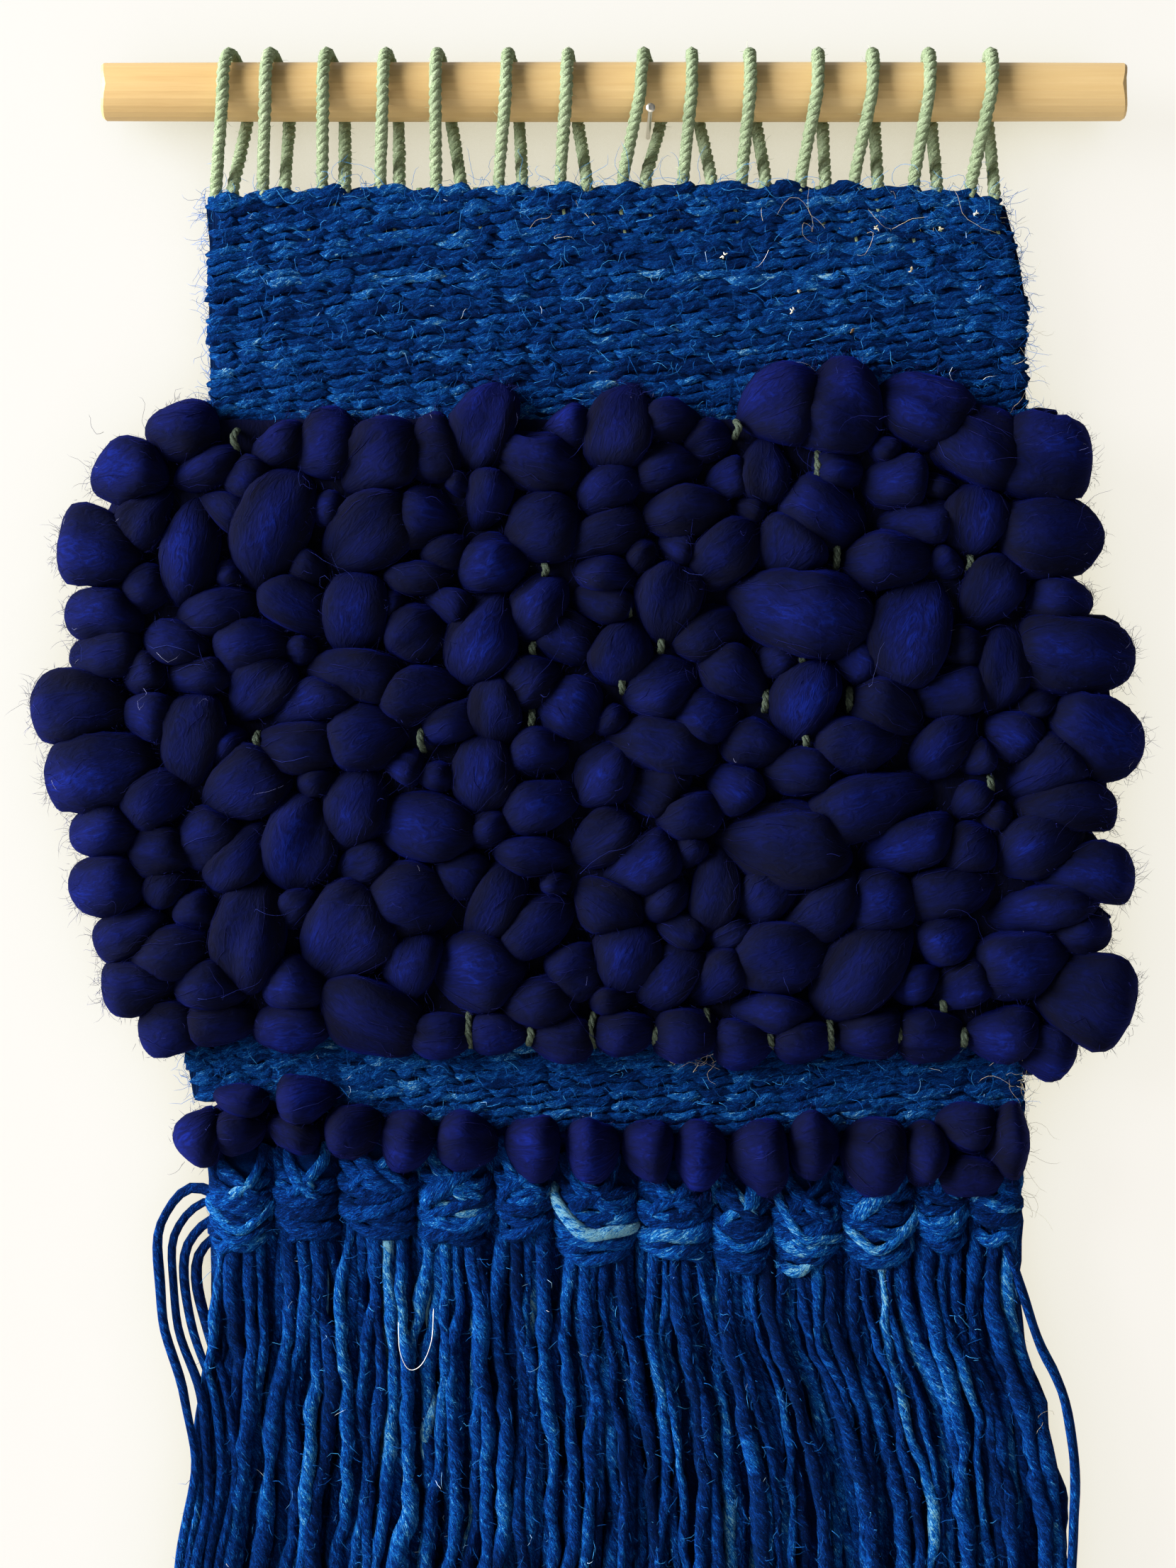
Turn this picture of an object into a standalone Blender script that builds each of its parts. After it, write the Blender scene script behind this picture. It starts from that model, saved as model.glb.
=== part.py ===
"""A woven wall hanging on a wooden dowel, built for Blender 4.5 (metres, +Z up).

Fourteen doubled loops of sage warp yarn hang a woven strip from a dowel, which rests on a nail.
From the top down the strip is a plain-weave band, a block of thick carded-wool tufts, a second
band, a single row of tufts, and twelve rya knots whose cut ends are the fringe.

The origin is where the nail enters the wall: the wall is the plane Y = 0, the hanging is in front
of it at -Y, and everything hangs in the plane of the dowel's axis.
Tables are in millimetres and MM turns them into metres.
"""

import math
import random

import bmesh
import bpy
import numpy as np
from mathutils import Vector
from mathutils.geometry import delaunay_2d_cdt

MM = 0.001
GAP = 0.3  # air between pieces that touch in the real hanging

# Dowel and nail
HANG_Y = -12.8  # plane of the dowel's axis and of the warp
DOWEL_RADIUS = 8.0
NAIL_RADIUS = 0.6
NAIL_HEAD_RADIUS = 1.25
NAIL_HEAD_THICKNESS = 0.9
NAIL_REACH = 28.0
NAIL_SIDES = 12
DOWEL_Z = NAIL_RADIUS + GAP + DOWEL_RADIUS
DOWEL_END_SLANT = 0.21  # how far the sawn ends lean out for each millimetre upwards
DOWEL_STATIONS = (  # x, share of the full radius: its edges are rounded and its ends sawn at a slant
    (-150.7, 0.90),
    (-149.9, 0.97),
    (-110.0, 0.99),
    (-30.0, 1.00),
    (60.0, 1.00),
    (130.2, 0.97),
    (131.0, 0.91),
)
DOWEL_SAWN_SHARE = 0.98  # the rings thinner than this follow the slant
DOWEL_SIDES = 24

# Warp: each loop's x at the weave in front, over the dowel, under the dowel behind, at the weave behind
WARP_RADIUS = 1.9
WARP_STEPS = 8
WARP_LEAVES_AT = (205, -25)  # degrees round the dowel where the loop meets and leaves it, 90 on top
WARP_FRONT_LEAN = 0.72  # how much of its way to the top a front leg has gone where it meets the dowel
WARP_STAGGER = 0.4  # front and back ends lie this far each side of the hanging plane
WARP_UPRIGHT = 3.0  # the ends rise straight out of the band for this far
WARP_LOOPS = (
    (-120.6, -116.3, -113.2, -115.9),
    (-107.6, -105.0, -101.5, -101.5),
    (-91.1, -89.4, -85.9, -84.9),
    (-74.9, -72.9, -70.7, -69.7),
    (-59.4, -58.8, -55.9, -52.8),
    (-41.8, -39.0, -36.6, -35.5),
    (-24.7, -22.5, -20.2, -17.6),
    (-7.1, -1.3, 3.9, -0.7),
    (9.6, 11.9, 14.1, 17.1),
    (25.9, 27.9, 30.2, 32.3),
    (42.5, 46.9, 49.1, 49.1),
    (57.4, 62.0, 63.8, 63.7),
    (73.9, 77.5, 79.9, 80.2),
    (89.9, 94.8, 96.1, 96.2),
)
WARP_ENDS = 2 * len(WARP_LOOPS)

# Plain-weave bands: x, z along each edge, and z, left x, right x down the sides
BAND_HALF_THICKNESS = 2.8
BAND_RIB = 0.55  # how much the cloth thins between two warp ends
SELVEDGE_HALF_THICKNESS = 1.3
END_PICK_SHARE = 0.75  # share of its thickness that the cloth has along its first and last pick
UPPER_TOP = (
    (-124, -21.4),
    (-108, -19.2),
    (-75, -18.0),
    (-17, -17.6),
    (58, -17.4),
    (90, -19.2),
    (99, -21.6),
)
UPPER_BOTTOM = ((-124, -86.0), (106, -86.0))
UPPER_SIDES = (
    (-21, -123.7, 98.7),
    (-35, -122.4, 102.5),
    (-50, -122.8, 105.1),
    (-66, -122.4, 104.7),
    (-86, -122.0, 105.3),
)
LOWER_TOP = ((-132, -249.5), (106, -252.5))
LOWER_BOTTOM = (
    (-127, -272.0),
    (-95, -272.0),
    (-80, -276.0),
    (-55, -279.5),
    (0, -281.0),
    (104, -280.0),
)
LOWER_SIDES = (
    (-249, -131.0, 104.6),
    (-262, -128.6, 103.6),
    (-280, -125.6, 104.4),
)

# Wool tufts of the block. Columns stand in front of the warp pairs, in brick order.
TUFT_COLUMNS = (-136, -119, -104, -88, -72, -56, -39, -21, -4, 13, 29, 46, 61, 77, 94)
TUFT_ROWS = 12
TUFT_TOP_Z, TUFT_BOTTOM_Z = -85.0, -251.0
TUFT_HALF_WIDTH, TUFT_HALF_HEIGHT, TUFT_DEPTH = 9.4, 8.3, 14.5
TUFT_SIZES = (0.74, 0.88, 0.98, 1.05, 1.18, 1.3)
TUFT_STRAY, TUFT_LEAN = 2.2, 32.0
TUFT_SEED = 11
LEFT_TURNS = (  # reach x, centre z, height of the tufts where a row turns back at the left
    (-140.5, -86.5, 15.0),
    (-155.2, -99.8, 16.5),
    (-164.3, -119.5, 20.0),
    (-162.5, -136.8, 15.0),
    (-161.2, -149.0, 14.0),
    (-171.8, -162.8, 18.0),
    (-168.1, -180.4, 20.0),
    (-161.2, -197.0, 15.5),
    (-161.5, -211.0, 16.0),
    (-154.8, -225.0, 14.5),
    (-152.1, -238.5, 15.5),
    (-142.0, -250.5, 13.0),
)
RIGHT_TURNS = (  # the same at the right
    (122.9, -94.2, 21.0),
    (126.5, -115.6, 23.0),
    (123.3, -132.9, 13.0),
    (135.1, -148.1, 23.0),
    (137.9, -170.6, 22.0),
    (130.0, -191.2, 19.5),
    (134.8, -209.6, 18.5),
    (128.4, -224.5, 13.0),
    (135.1, -242.0, 23.0),
    (119.0, -256.0, 13.5),
)
TURN_HALF_WIDTH, TURN_DEPTH = 17.0, 13.0
LARGE_TUFTS = (  # x, z, half width, half height, depth of the tufts that stand out
    (45.0, -80.5, 14.5, 12.5, 17.0),
    (80.5, -86.5, 13.0, 12.5, 16.0),
    (43.5, -136.0, 15.0, 11.0, 16.5),
    (72.5, -143.0, 10.5, 13.5, 16.0),
    (-100.0, -112.5, 11.5, 12.5, 16.5),
    (-124.0, -123.5, 10.0, 12.0, 15.0),
    (-77.5, -116.0, 11.5, 10.5, 16.0),
    (-63.0, -196.5, 11.0, 10.0, 16.0),
    (36.5, -199.5, 13.0, 11.5, 17.0),
    (59.5, -188.5, 13.0, 10.0, 16.0),
    (54.0, -237.5, 14.0, 12.5, 16.5),
    (-46.0, -235.0, 11.0, 11.0, 16.0),
    (-81.5, -227.0, 13.0, 11.5, 16.5),
    (-70.0, -247.0, 14.5, 10.0, 16.0),
)
# The line that the outline is measured from, the wool's least reach straight up and down from it, between
# two tufts, and the usual reach past its ends
BLOCK_SPINE = {"left": -100.0, "right": 70.0, "z": -170.0, "core": 84.0, "fan": 70.0}

# Single row of tufts: x, z, half width, half height, tilt in degrees
ROW_TUFTS = (
    (-123.5, -280.5, 8.5, 8.0, 35),
    (-114.0, -280.0, 8.5, 6.6, 10),
    (-113.0, -271.5, 8.0, 5.6, -5),
    (-99.0, -280.5, 8.0, 6.0, -20),
    (-95.0, -272.0, 9.0, 7.2, 10),
    (-82.0, -279.5, 8.8, 7.8, 15),
    (-67.0, -281.5, 8.0, 8.6, -10),
    (-50.5, -283.5, 9.2, 8.4, 0),
    (-32.5, -283.5, 8.2, 8.4, 0),
    (-15.5, -284.0, 7.6, 8.8, 5),
    (-0.5, -284.0, 7.9, 8.5, 0),
    (14.2, -285.5, 7.6, 9.0, 0),
    (30.0, -285.5, 9.2, 9.8, 10),
    (45.5, -284.5, 7.4, 9.0, 0),
    (63.0, -286.5, 10.8, 10.6, -15),
    (76.5, -287.5, 8.5, 8.4, 0),
    (88.0, -280.0, 9.4, 7.2, -5),
    (88.0, -291.0, 11.5, 6.2, 0),
    (98.0, -284.0, 7.0, 10.8, 0),
)
ROW_DEPTH = 12.0
ROW_SPINE = {"left": -121.0, "right": 96.0, "z": -281.0, "core": 8.5, "fan": 14.0}
SIDE_CORE = 6.0  # least reach to the sides

# Relief of the tufts in the solids
VALLEY = 4.5  # wool in front of the warp between two tufts
BACK_VALLEY, BACK_DEPTH = 4.0, 10.0
BACK_SHIFT = 8.0  # the tufts behind stand half a column to the side of those in front
BACK_SCALE = 1.3  # and the solid joins them two and two into larger lumps
SHOULDER = 0.6  # share of a tuft's outline at which its shoulders lie, the points round its crown
SHOULDERS, BACK_SHOULDERS = 5, 4
SHOULDER_CLEARANCE = 0.15
CREASE = 0.22  # share of a tuft's relief that is left where it meets the next one
OUTLINE_STEP = 4.0
POINT_SPACING = 2.9
WELL_PAST = 220.0

# Rya knots: left x, right x, bottom z, strands across
KNOTS = (
    (-122.2, -104.4, -310.5, 4),
    (-104.4, -86.1, -310.0, 4),
    (-86.1, -64.4, -306.5, 5),
    (-64.4, -43.1, -310.0, 5),
    (-43.1, -26.3, -308.5, 4),
    (-26.3, -3.5, -313.0, 5),
    (-3.5, 17.4, -313.5, 4),
    (17.4, 34.2, -316.0, 4),
    (34.2, 52.8, -315.0, 4),
    (52.8, 73.7, -313.5, 5),
    (73.7, 88.4, -309.0, 3),
    (88.4, 103.4, -308.0, 3),
)
KNOT_HALF_DEPTH = 7.0
KNOT_CLEARANCE = (-4.0, -2.0, 0.0, 2.0, 4.0)  # a knot's top clears the wool above it this far to each side
KNOT_RINGS = (  # share of the way down, share of the full width: three wraps with grooves between them
    (0.0, 0.80),
    (0.14, 0.98),
    (0.34, 0.86),
    (0.50, 1.00),
    (0.66, 0.88),
    (0.84, 0.99),
    (1.0, 0.84),
)

# Fringe
FRINGE_END_Z = -500.0
STRAND_WIDTH, STRAND_DEPTH = 3.6, 4.4
STRAND_TAPER = 0.15
SPREAD_BY = 0.2  # share of the way down by which a strand has come from its knot into its lane
UNEVEN_ENDS = 9.0
STRAND_STATIONS = (0.07, 0.2, 0.42, 0.7, 1.0)  # share of the way down
FRINGE_EDGES = (  # z, left x, right x of the outer strands' middles
    (-300.0, -120.5, 101.5),
    (-329.0, -121.5, 105.0),
    (-341.0, -122.0, 109.0),
    (-356.0, -122.6, 113.8),
    (-374.0, -123.5, 115.8),
    (-402.0, -128.5, 114.6),
    (-450.0, -131.0, 115.6),
    (-510.0, -132.0, 116.5),
)
LAYER_OFFSET = 3.3  # front and back layer, each side of the hanging plane
FRINGE_SEED = 5
BOW = (  # z, x, y of the outermost of the loose strands that bow out at the left
    (-296.5, -127.0, -13.4),
    (-302.0, -133.0, -14.2),
    (-312.0, -136.3, -15.4),
    (-332.0, -134.0, -17.8),
    (-350.0, -128.8, -21.6),
    (-380.0, -127.0, -22.0),
    (-404.0, -131.0, -22.0),
    (-450.0, -133.0, -21.8),
    (-497.0, -134.5, -21.5),
)
BOW_WIDTH, BOW_PITCH = 3.0, 4.2  # the next ones lie inside it at this pitch
BOW_DROP, BOW_DROP_FADE = 4.0, 25.0  # and leave the knot lower down

COLOURS = {  # base colour, roughness, metallic
    "wood": ((0.80, 0.52, 0.24), 0.55, 0.0),
    "steel": ((0.62, 0.60, 0.56), 0.35, 1.0),
    "warp_wool": ((0.33, 0.40, 0.29), 0.95, 0.0),
    "weft_wool": ((0.008, 0.045, 0.17), 0.95, 0.0),
    "carded_wool": ((0.008, 0.010, 0.050), 1.0, 0.0),
    "fringe_wool": ((0.010, 0.060, 0.21), 0.95, 0.0),
}


def clear_scene():
    for obj in list(bpy.data.objects):
        bpy.data.objects.remove(obj)


def material(name):
    colour, roughness, metallic = COLOURS[name]
    made = bpy.data.materials.get(name) or bpy.data.materials.new(name)
    made.use_nodes = True
    shader = made.node_tree.nodes["Principled BSDF"]
    shader.inputs["Base Color"].default_value = (*colour, 1.0)
    shader.inputs["Roughness"].default_value = roughness
    shader.inputs["Metallic"].default_value = metallic
    return made


def finish_mesh(name, bm, finish, smooth_angle=50):
    """Turns a bmesh in millimetres into an object in metres."""
    bmesh.ops.recalc_face_normals(bm, faces=bm.faces)
    mesh = bpy.data.meshes.new(name)
    bm.to_mesh(mesh)
    bm.free()
    for vertex in mesh.vertices:
        vertex.co *= MM
    mesh.shade_smooth()
    mesh.set_sharp_from_angle(angle=math.radians(smooth_angle))
    mesh.materials.append(material(finish))
    obj = bpy.data.objects.new(name, mesh)
    bpy.context.scene.collection.objects.link(obj)
    return obj


def along(table, x, column=1):
    """A table's value at x, on straight lines between its rows."""
    return float(np.interp(x, [row[0] for row in table], [row[column] for row in table]))


def down(table, z, column):
    """The same for a table whose first column falls."""
    return along(table[::-1], z, column)


def smoothstep(t):
    t = min(max(t, 0.0), 1.0)
    return t * t * (3 - 2 * t)


# ---------------------------------------------------------------- dowel and nail


def loft_rings(bm, rings):
    """Joins rings of equal length into a closed tube with flat ends."""
    made = [[bm.verts.new(point) for point in ring] for ring in rings]
    for first, second in zip(made, made[1:]):
        for i in range(len(first)):
            j = (i + 1) % len(first)
            bm.faces.new((first[i], first[j], second[j], second[i]))
    bm.faces.new(made[0])
    bm.faces.new(made[-1])


def build_dowel():
    bm = bmesh.new()
    rings = []
    middle = (DOWEL_STATIONS[0][0] + DOWEL_STATIONS[-1][0]) / 2
    for x, share in DOWEL_STATIONS:
        ring = []
        for side in range(DOWEL_SIDES):
            angle = 2 * math.pi * side / DOWEL_SIDES
            y = share * DOWEL_RADIUS * math.cos(angle)
            z = share * DOWEL_RADIUS * math.sin(angle)
            lean = math.copysign(DOWEL_END_SLANT * z, x - middle) if share < DOWEL_SAWN_SHARE else 0
            ring.append((x + lean, HANG_Y + y, DOWEL_Z + z))
        rings.append(ring)
    loft_rings(bm, rings)
    return finish_mesh("dowel", bm, "wood")


def build_nail():
    """The nail's flat end is on the wall's plane, where it would go on into the wall."""
    bm = bmesh.new()
    head_back = -NAIL_REACH + NAIL_HEAD_THICKNESS
    profile = (  # y, radius
        (0.0, NAIL_RADIUS),
        (head_back + 0.4, NAIL_RADIUS),
        (head_back, NAIL_HEAD_RADIUS * 0.8),
        (head_back - 0.3, NAIL_HEAD_RADIUS),
        (-NAIL_REACH + 0.3, NAIL_HEAD_RADIUS),
        (-NAIL_REACH, NAIL_HEAD_RADIUS * 0.6),
    )
    angles = [2 * math.pi * side / NAIL_SIDES for side in range(NAIL_SIDES)]
    loft_rings(bm, [[(r * math.cos(a), y, r * math.sin(a)) for a in angles] for y, r in profile])
    return finish_mesh("hanging_nail", bm, "steel")


# ---------------------------------------------------------------- warp loops


def band_top_under(x):
    """The highest that the band's top edge comes under a warp end."""
    return max(along(UPPER_TOP, x + side * 1.2 * WARP_RADIUS) for side in (-1, 0, 1))


def warp_loop_path(front_x, top_x, under_x, back_x):
    """Up in front of the dowel, over it and down behind, with both feet upright on the band."""
    radius = DOWEL_RADIUS + WARP_RADIUS + GAP + 0.2
    foot = band_top_under(front_x) + GAP
    path = [(front_x, HANG_Y - WARP_STAGGER, z) for z in (foot, foot + WARP_UPRIGHT)]
    under_front_x = front_x + WARP_FRONT_LEAN * (top_x - front_x)
    for step in range(WARP_STEPS + 1):
        share = step / WARP_STEPS
        angle = math.radians(WARP_LEAVES_AT[0] + (WARP_LEAVES_AT[1] - WARP_LEAVES_AT[0]) * share)
        x = along(((0.0, under_front_x), (0.5, top_x), (1.0, under_x)), share)
        path.append((x, HANG_Y + radius * math.cos(angle), DOWEL_Z + radius * math.sin(angle)))
    foot = band_top_under(back_x) + GAP
    path += [(back_x, HANG_Y + WARP_STAGGER, z) for z in (foot + WARP_UPRIGHT, foot)]
    return path


def build_warp_loop(index, row):
    name = f"warp_loop_{index:02d}"
    curve = bpy.data.curves.new(name, "CURVE")
    curve.dimensions = "3D"
    curve.bevel_depth = WARP_RADIUS * MM
    curve.bevel_resolution = 1
    curve.use_fill_caps = True
    path = warp_loop_path(*row)
    spline = curve.splines.new("POLY")
    spline.points.add(len(path) - 1)
    for point, place in zip(spline.points, path):
        point.co = (*(value * MM for value in place), 1.0)
    curve.materials.append(material("warp_wool"))
    obj = bpy.data.objects.new(name, curve)
    bpy.context.scene.collection.objects.link(obj)
    return obj


# ---------------------------------------------------------------- plain-weave bands


def build_band(name, top, bottom, sides, rows):
    """Cloth with one soft upright rib for each warp end, thinner at its edges."""
    bm = bmesh.new()
    columns = 2 * WARP_ENDS
    front, back = [], []
    for row in range(rows + 1):
        v = row / rows
        front.append([])
        back.append([])
        for column in range(columns + 1):
            u = column / columns
            nominal = sides[0][1] + (sides[0][2] - sides[0][1]) * u
            z = along(top, nominal) * (1 - v) + along(bottom, nominal) * v
            left, right = down(sides, z, 1), down(sides, z, 2)
            x = left + (right - left) * u
            half = BAND_HALF_THICKNESS - (BAND_RIB if column % 2 == 0 else 0)
            if column in (0, columns):
                half = SELVEDGE_HALF_THICKNESS
            elif row in (0, rows):
                half *= END_PICK_SHARE
            front[-1].append(bm.verts.new((x, HANG_Y - half, z)))
            back[-1].append(bm.verts.new((x, HANG_Y + half, z)))
    for row in range(rows):
        for column in range(columns):
            for grid in (front, back):
                upper, lower = grid[row], grid[row + 1]
                bm.faces.new((upper[column], upper[column + 1], lower[column + 1], lower[column]))
    border = [(0, c) for c in range(columns)]
    border += [(r, columns) for r in range(rows)]
    border += [(rows, c) for c in range(columns, 0, -1)]
    border += [(r, 0) for r in range(rows, 0, -1)]
    for (r0, c0), (r1, c1) in zip(border, border[1:] + border[:1]):
        bm.faces.new((front[r0][c0], front[r1][c1], back[r1][c1], back[r0][c0]))
    return finish_mesh(name, bm, "weft_wool")


# ---------------------------------------------------------------- wool tufts


def tuft(x, z, half_width, half_height, depth, tilt=0.0):
    return {"x": x, "z": z, "a": half_width, "b": half_height, "depth": depth, "tilt": math.radians(tilt)}


def block_tufts():
    """Every tuft of the block: the turns at both sides, the large ones, and the rest packed between them."""
    draw = random.Random(TUFT_SEED)
    fixed = []
    for table, side in ((LEFT_TURNS, 1), (RIGHT_TURNS, -1)):
        for reach, z, height in table:
            half_width = TURN_HALF_WIDTH + draw.uniform(-2, 2)
            x = reach + side * half_width
            fixed.append(tuft(x, z, half_width, height / 2 + 1.2, TURN_DEPTH, draw.uniform(-8, 8)))
    fixed += [tuft(*row, draw.uniform(-20, 20)) for row in LARGE_TUFTS]
    free, homes = [], []
    pitch = (TUFT_TOP_Z - TUFT_BOTTOM_Z) / (TUFT_ROWS - 0.5)
    for i, x in enumerate(TUFT_COLUMNS):
        for j in range(TUFT_ROWS):
            z = TUFT_TOP_Z - pitch * (j + (0.5 if i % 2 else 0.0))
            x_here = x + draw.uniform(-TUFT_STRAY, TUFT_STRAY)
            z_here = z + draw.uniform(-TUFT_STRAY, TUFT_STRAY)
            size = draw.choice(TUFT_SIZES)
            flat = draw.uniform(0.88, 1.14)
            half_width, half_height = TUFT_HALF_WIDTH * size * flat, TUFT_HALF_HEIGHT * size / flat
            depth = TUFT_DEPTH * (0.62 + 0.38 * size) * draw.uniform(0.9, 1.08)
            lean = draw.uniform(-TUFT_LEAN, TUFT_LEAN)
            if all(inside(other, x_here, z_here) > 0.92 for other in fixed):
                free.append(tuft(x_here, z_here, half_width, half_height, depth, lean))
                homes.append((x_here, z_here))
    settle(free, fixed, homes)
    return fixed + free


def inside(one, x, z):
    """How far out a point lies on a tuft: 0 at its centre, 1 on its outline."""
    c, s = math.cos(one["tilt"]), math.sin(one["tilt"])
    dx, dz = x - one["x"], z - one["z"]
    return math.hypot((c * dx + s * dz) / one["a"], (c * dz - s * dx) / one["b"])


def settle(free, fixed, homes, rounds=60):
    """Pushes crowded tufts apart, each on a light spring to where its row put it."""
    every = free + fixed
    place = np.array([(t["x"], t["z"]) for t in every])
    radius = np.array([(t["a"] + t["b"]) / 2 for t in every])
    home = np.array(homes)
    moving = len(free)
    for _ in range(rounds):
        gap = place[:moving, None, :] - place[None, :, :]
        distance = np.hypot(gap[..., 0], gap[..., 1]) + 1e-6
        wanted = 0.90 * (radius[:moving, None] + radius[None, :])
        push = np.clip(wanted - distance, 0, None) / distance
        push[np.arange(moving), np.arange(moving)] = 0
        place[:moving] += 0.22 * (push[..., None] * gap).sum(1) + 0.06 * (home - place[:moving])
    for one, (x, z) in zip(free, place[:moving]):
        one["x"], one["z"] = float(x), float(z)


def reach_of(tufts, x, z, dx, dz, least):
    """How far along a ray the tufts reach, from a point inside them."""
    best = least
    for one in tufts:
        c, s = math.cos(one["tilt"]), math.sin(one["tilt"])
        px, pz = x - one["x"], z - one["z"]
        p = Vector(((c * px + s * pz) / one["a"], (c * pz - s * px) / one["b"]))
        d = Vector(((c * dx + s * dz) / one["a"], (c * dz - s * dx) / one["b"]))
        root = p.dot(d) ** 2 - d.dot(d) * (p.dot(p) - 1)
        if root > 0:
            best = max(best, (math.sqrt(root) - p.dot(d)) / d.dot(d))
    return best


def tuft_outline(tufts, spine):
    """The outline of a field of tufts, clockwise from its top left, by rays from its spine."""
    left, right, z = spine["left"], spine["right"], spine["z"]
    steps = round((right - left) / OUTLINE_STEP)
    across = [left + (right - left) * i / steps for i in range(steps + 1)]
    turns = round(math.pi * spine["fan"] / OUTLINE_STEP)
    rays = [(x, 90.0) for x in across]
    rays += [(right, 90 - 180 * i / turns) for i in range(1, turns)]
    rays += [(x, -90.0) for x in reversed(across)]
    rays += [(left, -90 - 180 * i / turns) for i in range(1, turns)]
    outline = []
    for x, degrees in rays:
        dx, dz = math.cos(math.radians(degrees)), math.sin(math.radians(degrees))
        least = spine["core"] if abs(degrees) == 90 else SIDE_CORE
        reach = reach_of(tufts, x, z, dx, dz, least)
        outline.append((x + reach * dx, z + reach * dz))
    return outline


def triangulate(coords, ring, mode):
    """Triangles over points as index triples. Mode 1 keeps to the inside of the ring, 0 takes all."""
    faces, origins = delaunay_2d_cdt(coords, [], ring, mode, 1e-4)[2:4]
    source = [merged[0] for merged in origins]
    return [tuple(source[i] for i in face) for face in faces]


def relief_points(tufts, outline, valley, shoulders):
    """Points (x, z, depth) that carry the relief: crowns, the creases between two tufts, the hollows between
    three, and that many shoulders round each crown."""
    centres = [Vector((one["x"], one["z"])) for one in tufts]
    wanted = [(*centre, one["depth"]) for centre, one in zip(centres, tufts)]
    for face in triangulate(centres, [], 0):
        meetings = []
        for i, j in ((face[0], face[1]), (face[1], face[2]), (face[2], face[0])):
            out_i, out_j = inside(tufts[i], *centres[j]), inside(tufts[j], *centres[i])
            share = out_j / (out_i + out_j)
            depth = valley + CREASE * (min(tufts[i]["depth"], tufts[j]["depth"]) - valley)
            meetings.append((*centres[i].lerp(centres[j], share), depth))
        wanted += meetings
        wanted.append((sum(m[0] for m in meetings) / 3, sum(m[1] for m in meetings) / 3, valley))
    for one, centre in zip(tufts, centres):
        c, s = math.cos(one["tilt"]), math.sin(one["tilt"])
        depth = valley + math.sqrt(1 - SHOULDER**2) * (one["depth"] - valley)
        for k in range(shoulders):
            angle = 2 * math.pi * (k + 0.5) / shoulders
            u, w = SHOULDER * one["a"] * math.cos(angle), SHOULDER * one["b"] * math.sin(angle)
            x, z = centre.x + c * u - s * w, centre.y + s * u + c * w
            others = (other for other in tufts if other is not one)
            if all(inside(other, x, z) > SHOULDER + SHOULDER_CLEARANCE for other in others):
                wanted.append((x, z, depth))
    kept = []
    taken = list(outline)
    for x, z, depth in wanted:
        if all((x - kx) ** 2 + (z - kz) ** 2 > POINT_SPACING**2 for kx, kz in taken):
            kept.append((x, z, depth))
            taken.append((x, z))
    return kept


def build_tufted(name, tufts, spine, cutters):
    """A solid of wool tufts about the hanging plane, parted from the cloth that its tufts lie over."""
    outline = tuft_outline(tufts, spine)
    backs = [
        dict(one, x=one["x"] + BACK_SHIFT, a=one["a"] * BACK_SCALE, b=one["b"] * BACK_SCALE, depth=BACK_DEPTH)
        for one in tufts[::2]
    ]
    bm = bmesh.new()
    rim = [bm.verts.new((x, HANG_Y, z)) for x, z in outline]
    for side, points in (
        (-1, relief_points(tufts, outline, VALLEY, SHOULDERS)),
        (1, relief_points(backs, outline, BACK_VALLEY, BACK_SHOULDERS)),
    ):
        coords = [Vector(p) for p in outline] + [Vector((x, z)) for x, z, _ in points]
        made = dict(enumerate(rim))
        for face in triangulate(coords, [list(range(len(outline)))], 1):
            for index in face:
                if index not in made:
                    x, z, depth = points[index - len(outline)]
                    made[index] = bm.verts.new((x, HANG_Y + side * depth, z))
            bm.faces.new([made[index] for index in face])
    obj = finish_mesh(name, bm, "carded_wool", 85)
    for cutter in cutters:
        cut = obj.modifiers.new(cutter.name, "BOOLEAN")
        cut.operation = "DIFFERENCE"
        cut.object = cutter
    return outline


def widened(edge):
    """An edge carried on level to well past both sides."""
    return [(-WELL_PAST, edge[0][1]), *edge, (WELL_PAST, edge[-1][1])]


def build_cutter(name, top, bottom):
    """The room of a band, wider than the hanging, which the tufts over it leave free."""
    bm = bmesh.new()
    half = BAND_HALF_THICKNESS + GAP
    outline = [(x, z + GAP) for x, z in widened(top)] + [(x, z - GAP) for x, z in reversed(widened(bottom))]
    front = [bm.verts.new((x, HANG_Y - half, z)) for x, z in outline]
    back = [bm.verts.new((x, HANG_Y + half, z)) for x, z in outline]
    bm.faces.new(front)
    bm.faces.new(back)
    for i in range(len(outline)):
        j = (i + 1) % len(outline)
        bm.faces.new((front[i], front[j], back[j], back[i]))
    cutter = finish_mesh(name, bm, "weft_wool")
    cutter.hide_render = True
    cutter.hide_set(True)
    return cutter


# ---------------------------------------------------------------- rya knots and fringe


def sway(u, t):
    """Sideways drift of a strand, u across the fringe and t down it. Neighbours drift alike."""
    at_edges = math.sin(math.pi * u)
    wave = 2.6 * math.sin(2 * math.pi * (1.25 * u + 0.30)) * math.sin(math.pi * min(1.0, 1.15 * t))
    late = -3.4 * math.exp(-(((u - 0.46) / 0.18) ** 2)) * smoothstep((t - 0.3) / 0.5)
    return (wave + late) * at_edges


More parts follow.
